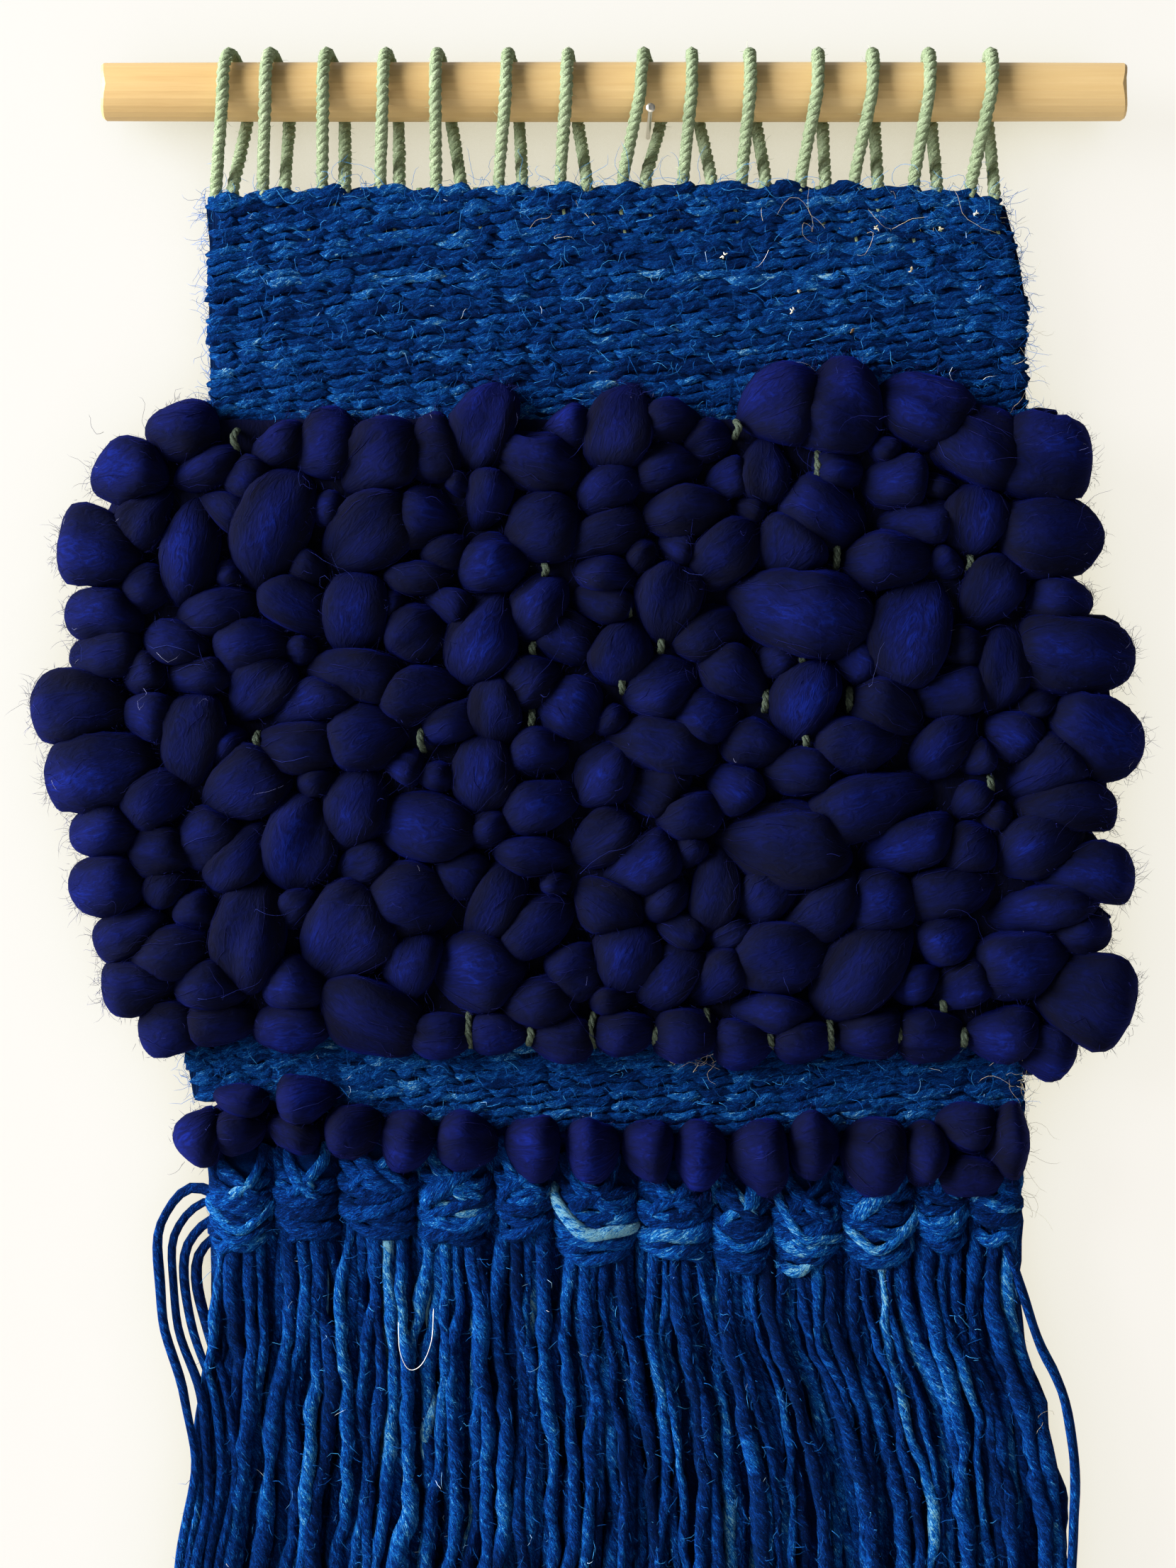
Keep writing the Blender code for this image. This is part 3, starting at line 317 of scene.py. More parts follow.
class Mesh:
    """Gathers closed tubes and shells and makes one object of them.

    Each point keeps where it is on its fibre (across, across and along it) and its colour level, 0 dark to
    1 pale: the yarn's dye, and on the tufts painted shade as well.
    """

    def __init__(self):
        self.points, self.fibre, self.dye, self.loops, self.sizes = [], [], [], [], []
        self.count = 0

    def add(self, points, fibre, dye, *faces):
        """Points (..., 3) with fibre and colour level (dye, and on the tufts painted shade), and faces as
        arrays (..., corners) of the points' numbers.
        """
        for corners in faces:
            self.loops.append(corners.ravel())
            self.sizes.append(np.full(corners[..., 0].size, corners.shape[-1]))
        self.points.append(points.reshape(-1, 3))
        self.fibre.append(np.broadcast_to(fibre, points.shape).reshape(-1, 3))
        self.dye.append(np.broadcast_to(dye, points.shape[:-1]).ravel())
        self.count += points.size // 3

    def grid(self, points, fibre, dye):
        """Tubes (tubes, rings, sides, 3), or one (rings, sides, 3), closed with a face at each end."""
        points = points.reshape(-1, *points.shape[-3:])
        index = self.count + np.arange(points.size // 3).reshape(points.shape[:3])
        self.add(points, fibre, dye, round_tubes(index), index[:, 0, ::-1], index[:, -1])

    def tubes(self, rng, paths, wide, deep, sides, dye, up=(0, 1, 0), lobes=0.0, lobe_turn=0.0):
        """Yarns along paths (yarns, points, 3). wide and deep are half sizes across and along up."""
        _, side, rise = directions(paths, up)
        s = lengths(paths)
        angle = TURN * np.arange(sides) / sides
        start = rng.uniform(0, TURN, (len(paths), 1, 1))
        lobe = 1 + lobes * np.cos(2 * (angle + lobe_turn * s[..., None] + start))
        a = np.broadcast_to(wide, s.shape)[..., None] * lobe * np.cos(angle)
        b = np.broadcast_to(deep, s.shape)[..., None] * lobe * np.sin(angle)
        points = paths[:, :, None] + a[..., None] * side[:, :, None] + b[..., None] * rise[:, :, None]
        run = s[..., None] + rng.uniform(0, RUN_START, (len(paths), 1, 1))
        self.grid(points, xyz(a, b, run), np.asarray(dye)[..., None] if np.ndim(dye) == 2 else dye)

    def spikes(self, rng, paths, radius, dye):
        """Hairs along paths (hairs, points, 3), three-sided, closed at the root and pointed at the tip."""
        count, rings = len(paths), paths.shape[1] - 1
        _, side, rise = directions(paths, HAIR_UP)
        angle = TURN * np.arange(3)[:, None] / 3
        around = np.cos(angle) * side[:, :-1, None] + np.sin(angle) * rise[:, :-1, None]
        points = paths[:, :-1, None] + np.broadcast_to(radius, (count, rings))[..., None, None] * around
        index = self.count + np.arange(count * rings * 3).reshape(count, rings, 3)
        last = index[:, -1]
        tips = self.count + index.size + np.arange(count)[:, None]
        ends = xyz(last, np.roll(last, -1, axis=1), tips)
        run = rng.uniform(0, RUN_START, (count, 1))
        tone = np.reshape(dye, (-1, 1))
        faces = round_tubes(index), ends, index[:, 0, ::-1]
        self.add(points, run[..., None, None], tone[..., None], *faces)
        self.add(paths[:, -1], run, tone[:, 0])

    def make(self, name, material, slot):
        mesh = bpy.data.meshes.new(name)
        loops, sizes = [np.concatenate(parts).astype(np.int32) for parts in (self.loops, self.sizes)]
        mesh.vertices.add(self.count)
        mesh.vertices.foreach_set("co", (np.concatenate(self.points) * MM).astype(np.float32).ravel())
        mesh.loops.add(len(loops))
        mesh.loops.foreach_set("vertex_index", loops)
        mesh.polygons.add(len(sizes))
        mesh.polygons.foreach_set("loop_start", (np.cumsum(sizes) - sizes).astype(np.int32))
        mesh.polygons.foreach_set("loop_total", sizes)
        mesh.update(calc_edges=True)
        fibre = mesh.attributes.new("fibre", "FLOAT_VECTOR", "POINT")
        fibre.data.foreach_set("vector", np.concatenate(self.fibre).astype(np.float32).ravel())
        # the colour level holds the dye and, on the tufts, painted shade
        dye = mesh.attributes.new("dye", "FLOAT", "POINT")
        dye.data.foreach_set("value", np.concatenate(self.dye).astype(np.float32))
        mesh.shade_smooth()
        mesh.materials.append(MATERIALS[material])
        obj = link(name, mesh)
        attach(obj, "root")
        return obj


# ---------------- materials


class Nodes:
    """A material's node tree with short calls for what the wools share."""

    def __init__(self, name):
        self.material = bpy.data.materials.new(name)
        self.material.use_nodes = True
        self.tree = self.material.node_tree
        self.shader = self.tree.nodes["Principled BSDF"]

    def fill(self, socket, value):
        if isinstance(value, bpy.types.NodeSocket):
            self.tree.links.new(value, socket)
        else:
            socket.default_value = value

    def add(self, kind, inputs=(), **settings):
        node = self.tree.nodes.new("ShaderNode" + kind)
        for key, value in settings.items():
            setattr(node, key, value)
        for key, value in dict(inputs).items():
            self.fill(node.inputs[key], value)
        return node

    def set(self, **values):
        for key, value in values.items():
            self.fill(self.shader.inputs[key.replace("_", " ")], value)

    def attribute(self, name, output):
        return self.add("Attribute", attribute_name=name).outputs[output]

    def where(self):
        return self.add("TexCoord").outputs["Object"]

    def math(self, operation, *values, clamp=False):
        return self.add("Math", dict(enumerate(values)), operation=operation, use_clamp=clamp).outputs[0]

    def sum(self, first, second, factor):
        """first + factor * second"""
        return self.math("MULTIPLY_ADD", second, factor, first)

    def noise(self, vector, scale, detail=2.0, stretch=(1, 1, 1), roughness=0.5, distortion=0.0):
        """Noise about zero. stretch divides each direction."""
        mapped = self.add("Mapping", {"Vector": vector, "Scale": [1 / v for v in stretch]})
        inputs = {"Vector": mapped.outputs[0], "Scale": scale, "Detail": detail}
        made = self.add("TexNoise", {**inputs, "Roughness": roughness, "Distortion": distortion})
        return self.math("SUBTRACT", made.outputs["Fac"], 0.5)

    def ramp(self, factor, stops):
        node = self.add("ValToRGB", {"Fac": factor})
        ramp = node.color_ramp
        while len(ramp.elements) < len(stops):
            ramp.elements.new(1.0)
        for element, (place, colour) in zip(ramp.elements, stops):
            element.position = place
            element.color = srgb(colour)
        return node.outputs["Color"]

    def bump(self, height, strength, distance, normal=None):
        inputs = {"Height": height, "Strength": strength, "Distance": distance}
        if normal is not None:
            inputs["Normal"] = normal
        return self.add("Bump", inputs).outputs[0]


def srgb(colour):
    """Linear colour and full alpha from display values 0 to 255."""
    return (*((v / 255 / 12.92) if v <= 10 else ((v / 255 + 0.055) / 1.055) ** 2.4 for v in colour), 1.0)


FIBRE_TWIST = 0.45  # the fibres' own slant as a share of the plies'


def wool(
    name, stops, sheen_tint, sheen=0.3, streak=1.0, mottle=0.35, fine=1.6, long=8.0, relief=1.2,
    twist=0.0, plies=0, groove=0.0, wisps=0.0, haze=0.0,
):
    """Dyed wool: fibres that run along the yarn or wind round it, slow changes of dye, and a soft sheen.

    stops are the colours from dark dye to pale. streak and mottle say how much the dye changes from fibre
    to fibre and over centimetres. fine is streaks per millimetre, and long how much longer than wide they
    are. relief, groove and wisps are heights in millimetres of fibres, plies and soft tangled locks. twist
    is the plies' turn in radians per millimetre, and haze how much paler the fine curly fibres over it all
    are.
    """
    n = Nodes(name)
    place = n.attribute("fibre", "Vector")
    ply_place = place
    if twist:
        run = n.add("SeparateXYZ", {0: place}).outputs["Z"]
        turned = []
        for rate in (twist, FIBRE_TWIST * twist):
            inputs = {"Vector": place, "Angle": n.math("MULTIPLY", run, rate)}
            turned.append(n.add("VectorRotate", inputs, rotation_type="Z_AXIS").outputs[0])
        ply_place, place = turned
    streaks = n.noise(place, fine, 3.0, (1, 1, long), 0.6, 1.2)
    threads = n.noise(place, fine * 2.7, 2.0, (1, 1, long), 0.6, 0.8)
    felt = n.noise(place, fine * 1.6, 3.0, (1, 1, 1.6), 0.7)
    slow = n.noise(place, 0.2, 2.0, (1, 1, 3))
    level = n.attribute("dye", "Fac")
    for change, share in ((streaks, streak), (slow, mottle), (felt, 0.5 * streak)):
        level = n.sum(level, change, share)
    normal = None
    if plies:
        section = n.add("SeparateXYZ", {0: ply_place}).outputs
        turn = n.math("ARCTAN2", section["Y"], section["X"])
        ridge = n.math("COSINE", n.math("MULTIPLY", turn, float(plies)))
        # painted shade and highlight: the colour is darker in the grooves between the plies and paler on
        # their crowns
        level = n.sum(level, ridge, 0.07)
        normal = n.bump(ridge, 1.0, groove * MM)
    for height, share in ((streaks, 1.0), (threads, 0.5), (felt, 0.5)):
        normal = n.bump(height, 1.0, share * relief * MM, normal)
    if wisps:
        locks = n.noise(place, 0.30, 2.0, (1, 1, 2.2), 0.5, 2.5)
        level = n.sum(level, locks, 0.6)
        normal = n.bump(locks, 1.0, wisps * MM, normal)
    if haze:
        where = n.where()
        patch = n.math("MULTIPLY_ADD", n.noise(where, 90.0), 2.0, 0.55, clamp=True)
        for scale, sharp in ((210.0, 34.0), (330.0, 26.0)):
            curls = n.noise(where, scale, 2.0, (1, 1, 1), 0.5, 2.2)
            line = n.math("MULTIPLY_ADD", n.math("ABSOLUTE", curls), -sharp, 1.0, clamp=True)
            level = n.sum(level, n.math("MULTIPLY", line, patch), haze)
    n.set(Base_Color=n.ramp(level, stops), Roughness=0.95, Specular_IOR_Level=0.03, Normal=normal)
    n.set(Sheen_Weight=sheen, Sheen_Roughness=0.45, Sheen_Tint=srgb(sheen_tint))
    return n.material


def make_materials():
    """Colours are display values, each at its place between dark dye at 0 and pale at 1."""
    sage = (0.1, (120, 134, 102)), (0.45, (142, 160, 126)), (0.75, (162, 178, 146)), (1, (190, 200, 170))
    indigo = (
        (0, (2, 18, 60)), (0.3, (4, 40, 102)), (0.55, (10, 66, 142)), (0.75, (24, 102, 182)),
        (0.9, (70, 150, 208)), (1, (160, 204, 222)),
    )
    bright_indigo = (
        (0, (2, 14, 56)), (0.3, (4, 38, 108)), (0.55, (10, 70, 164)), (0.75, (20, 112, 206)),
        (0.9, (50, 152, 222)), (1, (140, 202, 232)),
    )
    navy = (0, (6, 7, 20)), (0.35, (6, 9, 34)), (0.65, (7, 12, 54)), (1, (10, 25, 100))
    # painted shade: a darker copy of the sage wool for the warp seen deep between the tufts
    shaded_sage = (0, (48, 58, 52)), (0.5, (84, 96, 84)), (1, (130, 140, 122))
    shadow = (0, (2, 14, 44)), (1, (8, 40, 90))
    blue_fuzz = (0, (6, 40, 98)), (0.5, (18, 82, 156)), (0.85, (60, 140, 200)), (1, (222, 228, 228))
    navy_fuzz = (0, (7, 9, 34)), (0.6, (13, 19, 70)), (0.9, (34, 44, 104)), (1, (120, 122, 142))
    undyed = (0, (96, 66, 38)), (0.3, (158, 148, 118)), (0.75, (204, 200, 178)), (1, (240, 240, 230))
    return {
        "warp": wool(
            "sage_wool", sage, (170, 186, 154), streak=0.8, mottle=0.2, fine=2.0, long=5.0, relief=0.8,
            twist=-0.9, haze=0.12,
        ),
        "weft": wool(
            "indigo_weft", indigo, (20, 110, 200), streak=1.8, fine=2.2, long=5.0, relief=1.6,
            twist=0.8, plies=2, groove=0.2, haze=0.08,
        ),
        "fringe": wool(
            "indigo_fringe", bright_indigo, (20, 110, 200), streak=2.0, fine=1.9, long=5.0, relief=2.8,
            twist=0.78, plies=2, groove=0.6, haze=0.1,
        ),
        "carded": wool(
            "navy_carded_wool", navy, (14, 40, 190), sheen=0.16, streak=0.3, mottle=0.3, fine=1.1, long=4.0,
            relief=0.1, wisps=0.3, haze=0.05,
        ),
        "warp_painted_shade": wool("sage_wool_painted_shade", shaded_sage, (90, 110, 100), sheen=0.1),
        # painted shade: the dark material of the sheet under the weft
        "core": wool("cloth_shadow", shadow, (60, 120, 200), sheen=0.0),
        "fuzz_blue": wool("blue_fuzz", blue_fuzz, (60, 140, 200), streak=0.2),
        "fuzz_navy": wool("navy_fuzz", navy_fuzz, (60, 60, 160), streak=0.2),
        "fuzz_pale": wool("undyed_fuzz", undyed, (200, 200, 190), streak=0.2),
        "wood": make_wood(),
        "steel": make_steel(),
    }


def make_wood():
    """Pale planed hardwood: long grain, darker pores and warm patches."""
    n = Nodes("pale_dowel_wood")
    place = n.where()
    grain = n.noise(place, 900.0, 3.0, (30, 1, 1), 0.6, 0.4)
    broad = n.noise(place, 140.0, 2.0, (9, 1, 1), 0.5, 0.8)
    patches = n.noise(place, 22.0, 2.0, (2, 1, 1))
    pores = n.noise(place, 2600.0, 1.0, (26, 1, 1))
    level = n.sum(n.sum(n.sum(0.52, grain, 0.3), broad, 0.3), patches, 0.55)
    tones = (0.1, (152, 116, 66)), (0.42, (180, 150, 100)), (0.62, (189, 161, 112)), (0.95, (200, 175, 130))
    n.set(Base_Color=n.ramp(level, tones), Roughness=0.55, Specular_IOR_Level=0.3)
    n.set(Normal=n.bump(n.sum(grain, pores, 0.6), 0.25, 0.2 * MM))
    return n.material


def make_steel():
    n = Nodes("worn_steel")
    wear = n.noise(n.where(), 1500.0, 3.0)
    colour = n.ramp(n.sum(0.6, wear, 0.8), ((0, (150, 146, 138)), (1, (226, 222, 212))))
    n.set(Base_Color=colour, Metallic=1.0, Roughness=n.sum(0.34, wear, 0.3))
    n.set(Normal=n.bump(wear, 0.15, 0.1 * MM))
    return n.material


MATERIALS = make_materials()


# ---------------- warp loops


def band_top_under(x):
    """The upper band's top edge where a warp yarn at x goes into it."""
    return max(along(BANDS["upper"]["top"], x + side * 1.2 * WARP_RADIUS) for side in (-1, 0, 1))


def loop_path(front_x, top_x, under_x, back_x, count):
    """One warp loop: up in front, over the dowel, down behind and back to the weave."""
    radius = DOWEL_RADIUS + WARP_RADIUS + LOOP_GAP
    foot = band_top_under(front_x) - FOOT_DEPTH
    path = [(front_x, HANG_Y - 0.4, foot), (front_x, HANG_Y - 0.6, foot + 5)]
    for share in np.linspace(0, 1, 9):
        angle = math.radians(205 - 230 * share)
        x = np.interp(share, (0, 0.5, 1), (front_x + 0.72 * (top_x - front_x), top_x, under_x))
        path.append((x, HANG_Y + radius * math.cos(angle), DOWEL_Z + radius * math.sin(angle)))
    foot = band_top_under(back_x) - FOOT_DEPTH
    path += [(back_x, HANG_Y + 0.6, foot + 5), (back_x, HANG_Y + 0.4, foot)]
    return smooth_path(path, count)


def build_warp_loops():
    """Three plies twisted round each other, with a haze of short fibres."""
    rng = np.random.default_rng(WARP_SEED)
    for index, row in enumerate(WARP_LOOPS, 1):
        centre = loop_path(*row, 84)
        s = lengths(centre)
        tangent, side, rise = directions(centre, (1, 0, 0))
        turn = TURN * s / PLY_TURN + 0.5 * drift(rng, s, 9)[0] + rng.uniform(0, 6)
        offset = PLY_OFFSET * (1 + 0.08 * drift(rng, s, 8)[0])
        plies = []
        for ply in range(3):
            phase = (turn + TURN * ply / 3)[:, None]
            plies.append(centre + offset[:, None] * (np.cos(phase) * side + np.sin(phase) * rise))
        thick = PLY_RADIUS * (1 + 0.08 * drift(rng, s, 5, 3))
        dye = 0.56 + 0.14 * drift(rng, s, 14, 3)
        mesh = Mesh()
        mesh.tubes(rng, np.array(plies), thick, thick, 6, dye, up=(1, 0, 0))
        place = rng.integers(2, len(centre) - 2, LOOP_HAIRS)
        around = unit(rng.normal(size=(LOOP_HAIRS, 3)))
        reach = rng.uniform(1.0, 3.2, LOOP_HAIRS)
        roots, headings = centre[place] + 1.5 * around, around + 0.8 * tangent[place]
        hairs(mesh, rng, roots, headings, reach, 0.7, 0.06, 0.75, 4)
        made = mesh.make(f"warp_yarn_{index:02d}", "warp", "warp_wool")
        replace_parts(made, f"warp_loop_{index:02d}")


# ---------------- bands


def band_edges(band, v, x):
    """z at a share v of the way from the band's top edge to its bottom one."""
    return blend(along(band["top"], x), along(band["bottom"], x), v)


def across(sides, z, u):
    """x at a share u of the way from a table's left side to its right one."""
    return blend(along(sides, z, 1), along(sides, z, 2), u)


def band_plane(band, v, u):
    """Points of the band's middle plane, v down it and u across it."""
    sides = band["sides"]
    z = band_edges(band, v, across(sides, sides[0][0], u))
    return xyz(across(sides, z, u), HANG_Y, z)


def weft_path(rng, band, pick, leaning):
    """One pick from left to right, over and under the warp ends, and how thick it is at each point."""
    t = np.linspace(-0.5, WARP_ENDS - 0.5, WARP_ENDS * FLOAT_POINTS + 1)[:-1] + 0.5 / FLOAT_POINTS
    # the warp ends stand unevenly, and a float rises a little to the right between its neighbours
    stray = 0.22 * drift(rng, t, 1.1)[0] + np.interp(t, np.arange(WARP_ENDS), leaning)
    u = np.clip((t + 0.5 + stray) / WARP_ENDS, 0.004, 0.996)
    sides = band["sides"]
    top_x = across(sides, sides[0][0], u)
    wander = 0.55 * drift(rng, top_x, 30)[0] + 0.36 * drift(rng, top_x, 7)[0]
    z = band_edges(band, (pick + 0.6) / band["picks"], top_x) + wander * min(1.0, (pick + 0.5) / 3)
    z = z + 0.5 * np.sin(TURN * t)
    # in front for longer than behind, so that a float's thin ends wedge between its neighbours
    wave = (np.cos(math.pi * t) * (-1 if pick % 2 else 1) + 0.42) / 1.42
    y = HANG_Y - (1.3 + 0.3 * drift(rng, top_x, 8)[0]) * np.sign(wave) * np.abs(wave) ** 0.4
    row = xyz(across(sides, z, u), y, z)
    row[[0, -1], 0] += rng.uniform(0.2, 1.1, 2) * (-1, 1)
    return row, 0.55 + 0.62 * np.clip(wave, 0, 1) ** 0.8


def build_band(kind):
    """A thin dark cloth core that paints shade between the floats, the warp in it, and one long
    thick-and-thin yarn woven to and fro over both.
    """
    band = BANDS[kind]
    rng = np.random.default_rng(band["seed"])
    picks = band["picks"]
    leaning = 0.34 * drift(rng, np.arange(picks), 5, WARP_ENDS)
    rows = [weft_path(rng, band, pick, leaning[:, pick]) for pick in range(picks)]
    # to and fro: every other pick runs from right to left
    path, swell = [
        np.concatenate([part[:: 1 if pick % 2 == 0 else -1] for pick, part in enumerate(parts)])
        for parts in zip(*rows)
    ]
    path = path[None]
    s = lengths(path)
    thick = 1 + 0.16 * drift(rng, s, 9) + 0.12 * drift(rng, s, 34) + 0.12 * drift(rng, s, 3.5)
    # the first pick is the thickest
    first = s < 230
    thick[first] *= 1.0 + 0.28 * (1 - smoothstep((s[first] - 200) / 30))
    pitch = abs(band_edges(band, 1, 0) - band_edges(band, 0, 0)) / picks
    dye = 0.37 + 0.13 * drift(rng, s, 210) + 0.10 * drift(rng, s, 60) + 0.13 * drift(rng, s, 20)
    dye = dye + 0.14 * drift(rng, s, 6) + 0.26 * smoothstep((drift(rng, s, 15) - 0.78) / 0.2)
    dye = dye + along(BAND_TONES, path[..., 2])
    weave = Mesh()
    deep, high = 0.95 * thick, pitch * thick * swell
    weave.tubes(rng, path, deep, high, 6, dye, up=(0, 0, 1), lobes=0.07, lobe_turn=0.5)
    yarn = weave.make(f"{kind}_band_weft", "weft", "weft_wool")

    warp = Mesh()
    paths = band_plane(band, np.linspace(0, 1, 12), (np.arange(WARP_ENDS)[:, None] + 0.5) / WARP_ENDS)
    thick = np.linspace(0.9, 0.5, 12) if kind == "upper" else 0.5
    warp.tubes(rng, paths, thick, thick, 6, 0.4)
    ends = warp.make(f"{kind}_band_warp", "warp", "warp_wool")

    # painted shade: a dark sheet in the middle of the cloth that shows as shade between the floats
    sheet = Mesh()
    grid = band_plane(band, np.linspace(0.02, 0.98, 13)[:, None], np.linspace(0, 1, 57))
    middle = grid[:, 1:-1]
    half = (0, CORE_HALF_THICKNESS, 0)
    ring = np.concatenate([grid[:, :1], middle - half, grid[:, -1:], (middle + half)[:, ::-1]], axis=1)
    sheet.grid(ring, ring[..., :1], 0.4)
    core = sheet.make(f"{kind}_band_shade_cloth", "core", "weft_wool")
    for piece in (core, yarn, ends):
        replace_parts(piece, f"{kind}_band")


# ---------------- wool tufts


def tuft(x, z, half_length, half_width, tilt, end, front=0.5):
    """end is how pointed its ends are, 0.5 round to 1 a tip, and front how far it comes forward, 0 to 1."""
    depth = 9.0 + 0.45 * half_width + 2.5 * front
    tilt = math.radians(tilt)
    return dict(x=x, z=z, a=half_length, b=half_width, tilt=tilt, end=end, front=front, depth=depth)


def block_tufts():
    """The turns at the sides, the tufts that stand out, and smaller ones where these leave room."""
    rng = np.random.default_rng(TUFT_SEED)
    placed = []
    for table, side in ((LEFT_TURNS, 1), (RIGHT_TURNS, -1)):
        for reach, z, height in table:
            half = height * rng.uniform(0.54, 0.70)
            tilt = side * rng.uniform(-4, 22)
            x = reach + side * TUFT_SWELL * half
            placed.append(tuft(x, z, half, height / 2, tilt, 0.5, rng.uniform(0.1, 0.4)))
    for x, z, a, b, tilt in LARGE_TUFTS:
        placed.append(tuft(x, z, 1.16 * a, 1.08 * b, tilt, rng.uniform(0.6, 0.95), rng.uniform(0.3, 1.0)))
    left_of, right_of = side_reach(LEFT_TURNS), side_reach(RIGHT_TURNS)
    for radius in FREE_TUFT_RADII:
        for _ in range(FREE_TUFT_TRIES):
            x, z = rng.uniform(-165, 132), rng.uniform(TUFT_BOTTOM_Z, TUFT_TOP_Z)
            if not along(left_of, z) + radius + 4 < x < along(right_of, z) - radius - 4:
                continue
            if CREVICE_BOTTOM_Z < z < CREVICE_TOP_Z and abs(x - CREVICE_X) < 0.45 * radius + 0.5:
                continue
            if any(math.hypot(x - row[0], (z - row[1]) * 0.6) < radius for row in WARP_GLIMPSES):
                continue
            if all((inside(other, x, z) - 1) * other["b"] > 0.36 * radius for other in placed):
                long, wide = rng.uniform(1.0, 1.4) * radius, rng.uniform(0.86, 1.0) * radius
                lean = rng.uniform(-30, 50)
                placed.append(tuft(x, z, long, wide, lean, rng.uniform(0.55, 0.8), rng.uniform(0.0, 0.5)))
    return placed


def side_reach(turns):
    """z and x of the wool's end at one side, from the turns there."""
    return [(z, reach) for reach, z, _ in turns]


def inside(one, x, z):
    """How far out a point lies on a tuft: 0 at its centre, 1 on its outline."""
    c, s = math.cos(one["tilt"]), math.sin(one["tilt"])
    dx, dz = x - one["x"], z - one["z"]
    return math.hypot((c * dx + s * dz) / one["a"], (c * dz - s * dx) / one["b"])


def nearest_on_spines(one, other):
    """The points on two tufts' long axes that face each other."""
    homes = [np.array((form["x"], form["z"])) for form in (one, other)]
    places = list(homes)
    for _ in range(2):
        for k, form in enumerate((one, other)):
            axis = np.array((math.cos(form["tilt"]), math.sin(form["tilt"])))
            half = max(0.0, form["a"] - form["b"]) * 0.9
            places[k] = homes[k] + axis * np.clip(np.dot(places[1 - k] - homes[k], axis), -half, half)
    return places


def spacing(one, other):
    """How far apart two tufts' long axes are."""
    places = nearest_on_spines(one, other)
    return math.hypot(*(places[1] - places[0]))


def ripple(rng, points, wave, count=6):
    """Smooth bumps about a wave long over some points, mostly between -1 and 1."""
    ways = unit(rng.normal(size=(count, 3))) * (TURN / (wave * rng.uniform(0.7, 1.6, (count, 1))))
    return 1.5 * np.sin(points @ ways.T + rng.uniform(0, 6.3, count)).mean(axis=-1)


def tuft_points(rng, one, near, side, stations, around, swell):
    """One tuft's surface: a soft lemon that bulges out of the cloth and gives way to its neighbours.

    near are those neighbours, and side is 1 in front of the cloth and -1 behind it.
    """
    t = -np.cos(math.pi * (np.arange(stations) + 0.5) / stations)[:, None]
    phi = TURN * np.arange(around) / around
    arch = 1 - t * t
    moved = t + rng.uniform(-0.3, 0.3) * arch
    width = (1 - np.abs(t) ** 2.05) ** one["end"]
    c, s = math.cos(one["tilt"]), math.sin(one["tilt"])
    a, b = one["a"] * swell, one["b"] * swell
    plain = xyz(a * t, b * width * np.cos(phi), b * width * np.sin(phi))
    lump = 1 + 0.12 * ripple(rng, plain, 15) + 0.06 * ripple(rng, plain, 7)
    lump = lump + 0.025 * ripple(rng, plain, 3.2)
    lump = lump + 0.06 * np.cos(3 * phi + rng.uniform(-2.5, 2.5) * t + rng.uniform(0, 6.3))
    groove = 0.0
    for _ in range(rng.integers(0, 3)):
        away = phi - rng.uniform(0.4, 2.7) - rng.uniform(-0.5, 0.5) * t
        groove = np.maximum(groove, np.exp(-((away / 0.3) ** 2)))
    lump = lump - 0.2 * groove
    bow = rng.uniform(-0.2, 0.2) * one["b"] * arch
    e1 = a * moved
    e2 = b * width * np.cos(phi) * lump + bow
    x = one["x"] + c * e1 - s * e2
    z = one["z"] + s * e1 + c * e2
    y = 2.0 + (0.46 * one["depth"] - 2.0) * arch + 0.54 * one["depth"] * width * np.sin(phi) * lump
    shade = 0.0
    for other in near:
        own_centre, other_centre = nearest_on_spines(one, other)
        gap = other_centre - own_centre
        distance = math.hypot(*gap)
        n = gap / distance
        share = distance * one["b"] / (one["b"] + other["b"])
        yields = 0.35 + 0.45 * smoothstep(0.5 + 1.4 * (other["front"] - one["front"]))
        over = (x - own_centre[0]) * n[0] + (z - own_centre[1]) * n[1] - share
        # painted shade: close to a neighbour the tuft's colour is darkened as if shaded there
        shade = np.maximum(shade, np.exp(np.minimum(over, 0.0) / SHADE_REACH))
        push = 0.5 * (over + np.sqrt(over * over + 6.0)) * yields
        x, z = x - push * n[0], z - push * n[1]
    points = xyz(x, HANG_Y - side * y, z)
    fibre = xyz(b * np.cos(phi), b * np.sin(phi), 1.1 * a * moved + rng.uniform(0, 900))
    # painted shade: darker towards neighbours, in the grooves, at the rims where the tuft turns in towards
    # the cloth, and at its ends
    dye = 0.7 + 0.13 * rng.uniform(-1, 1) - 0.6 * shade - 0.2 * groove
    dye = dye - 0.45 * (1 - np.abs(np.sin(phi))) ** 2 - 0.2 * np.abs(t) ** 6
    return points[:, ::side], fibre[:, ::side], dye[:, ::side]


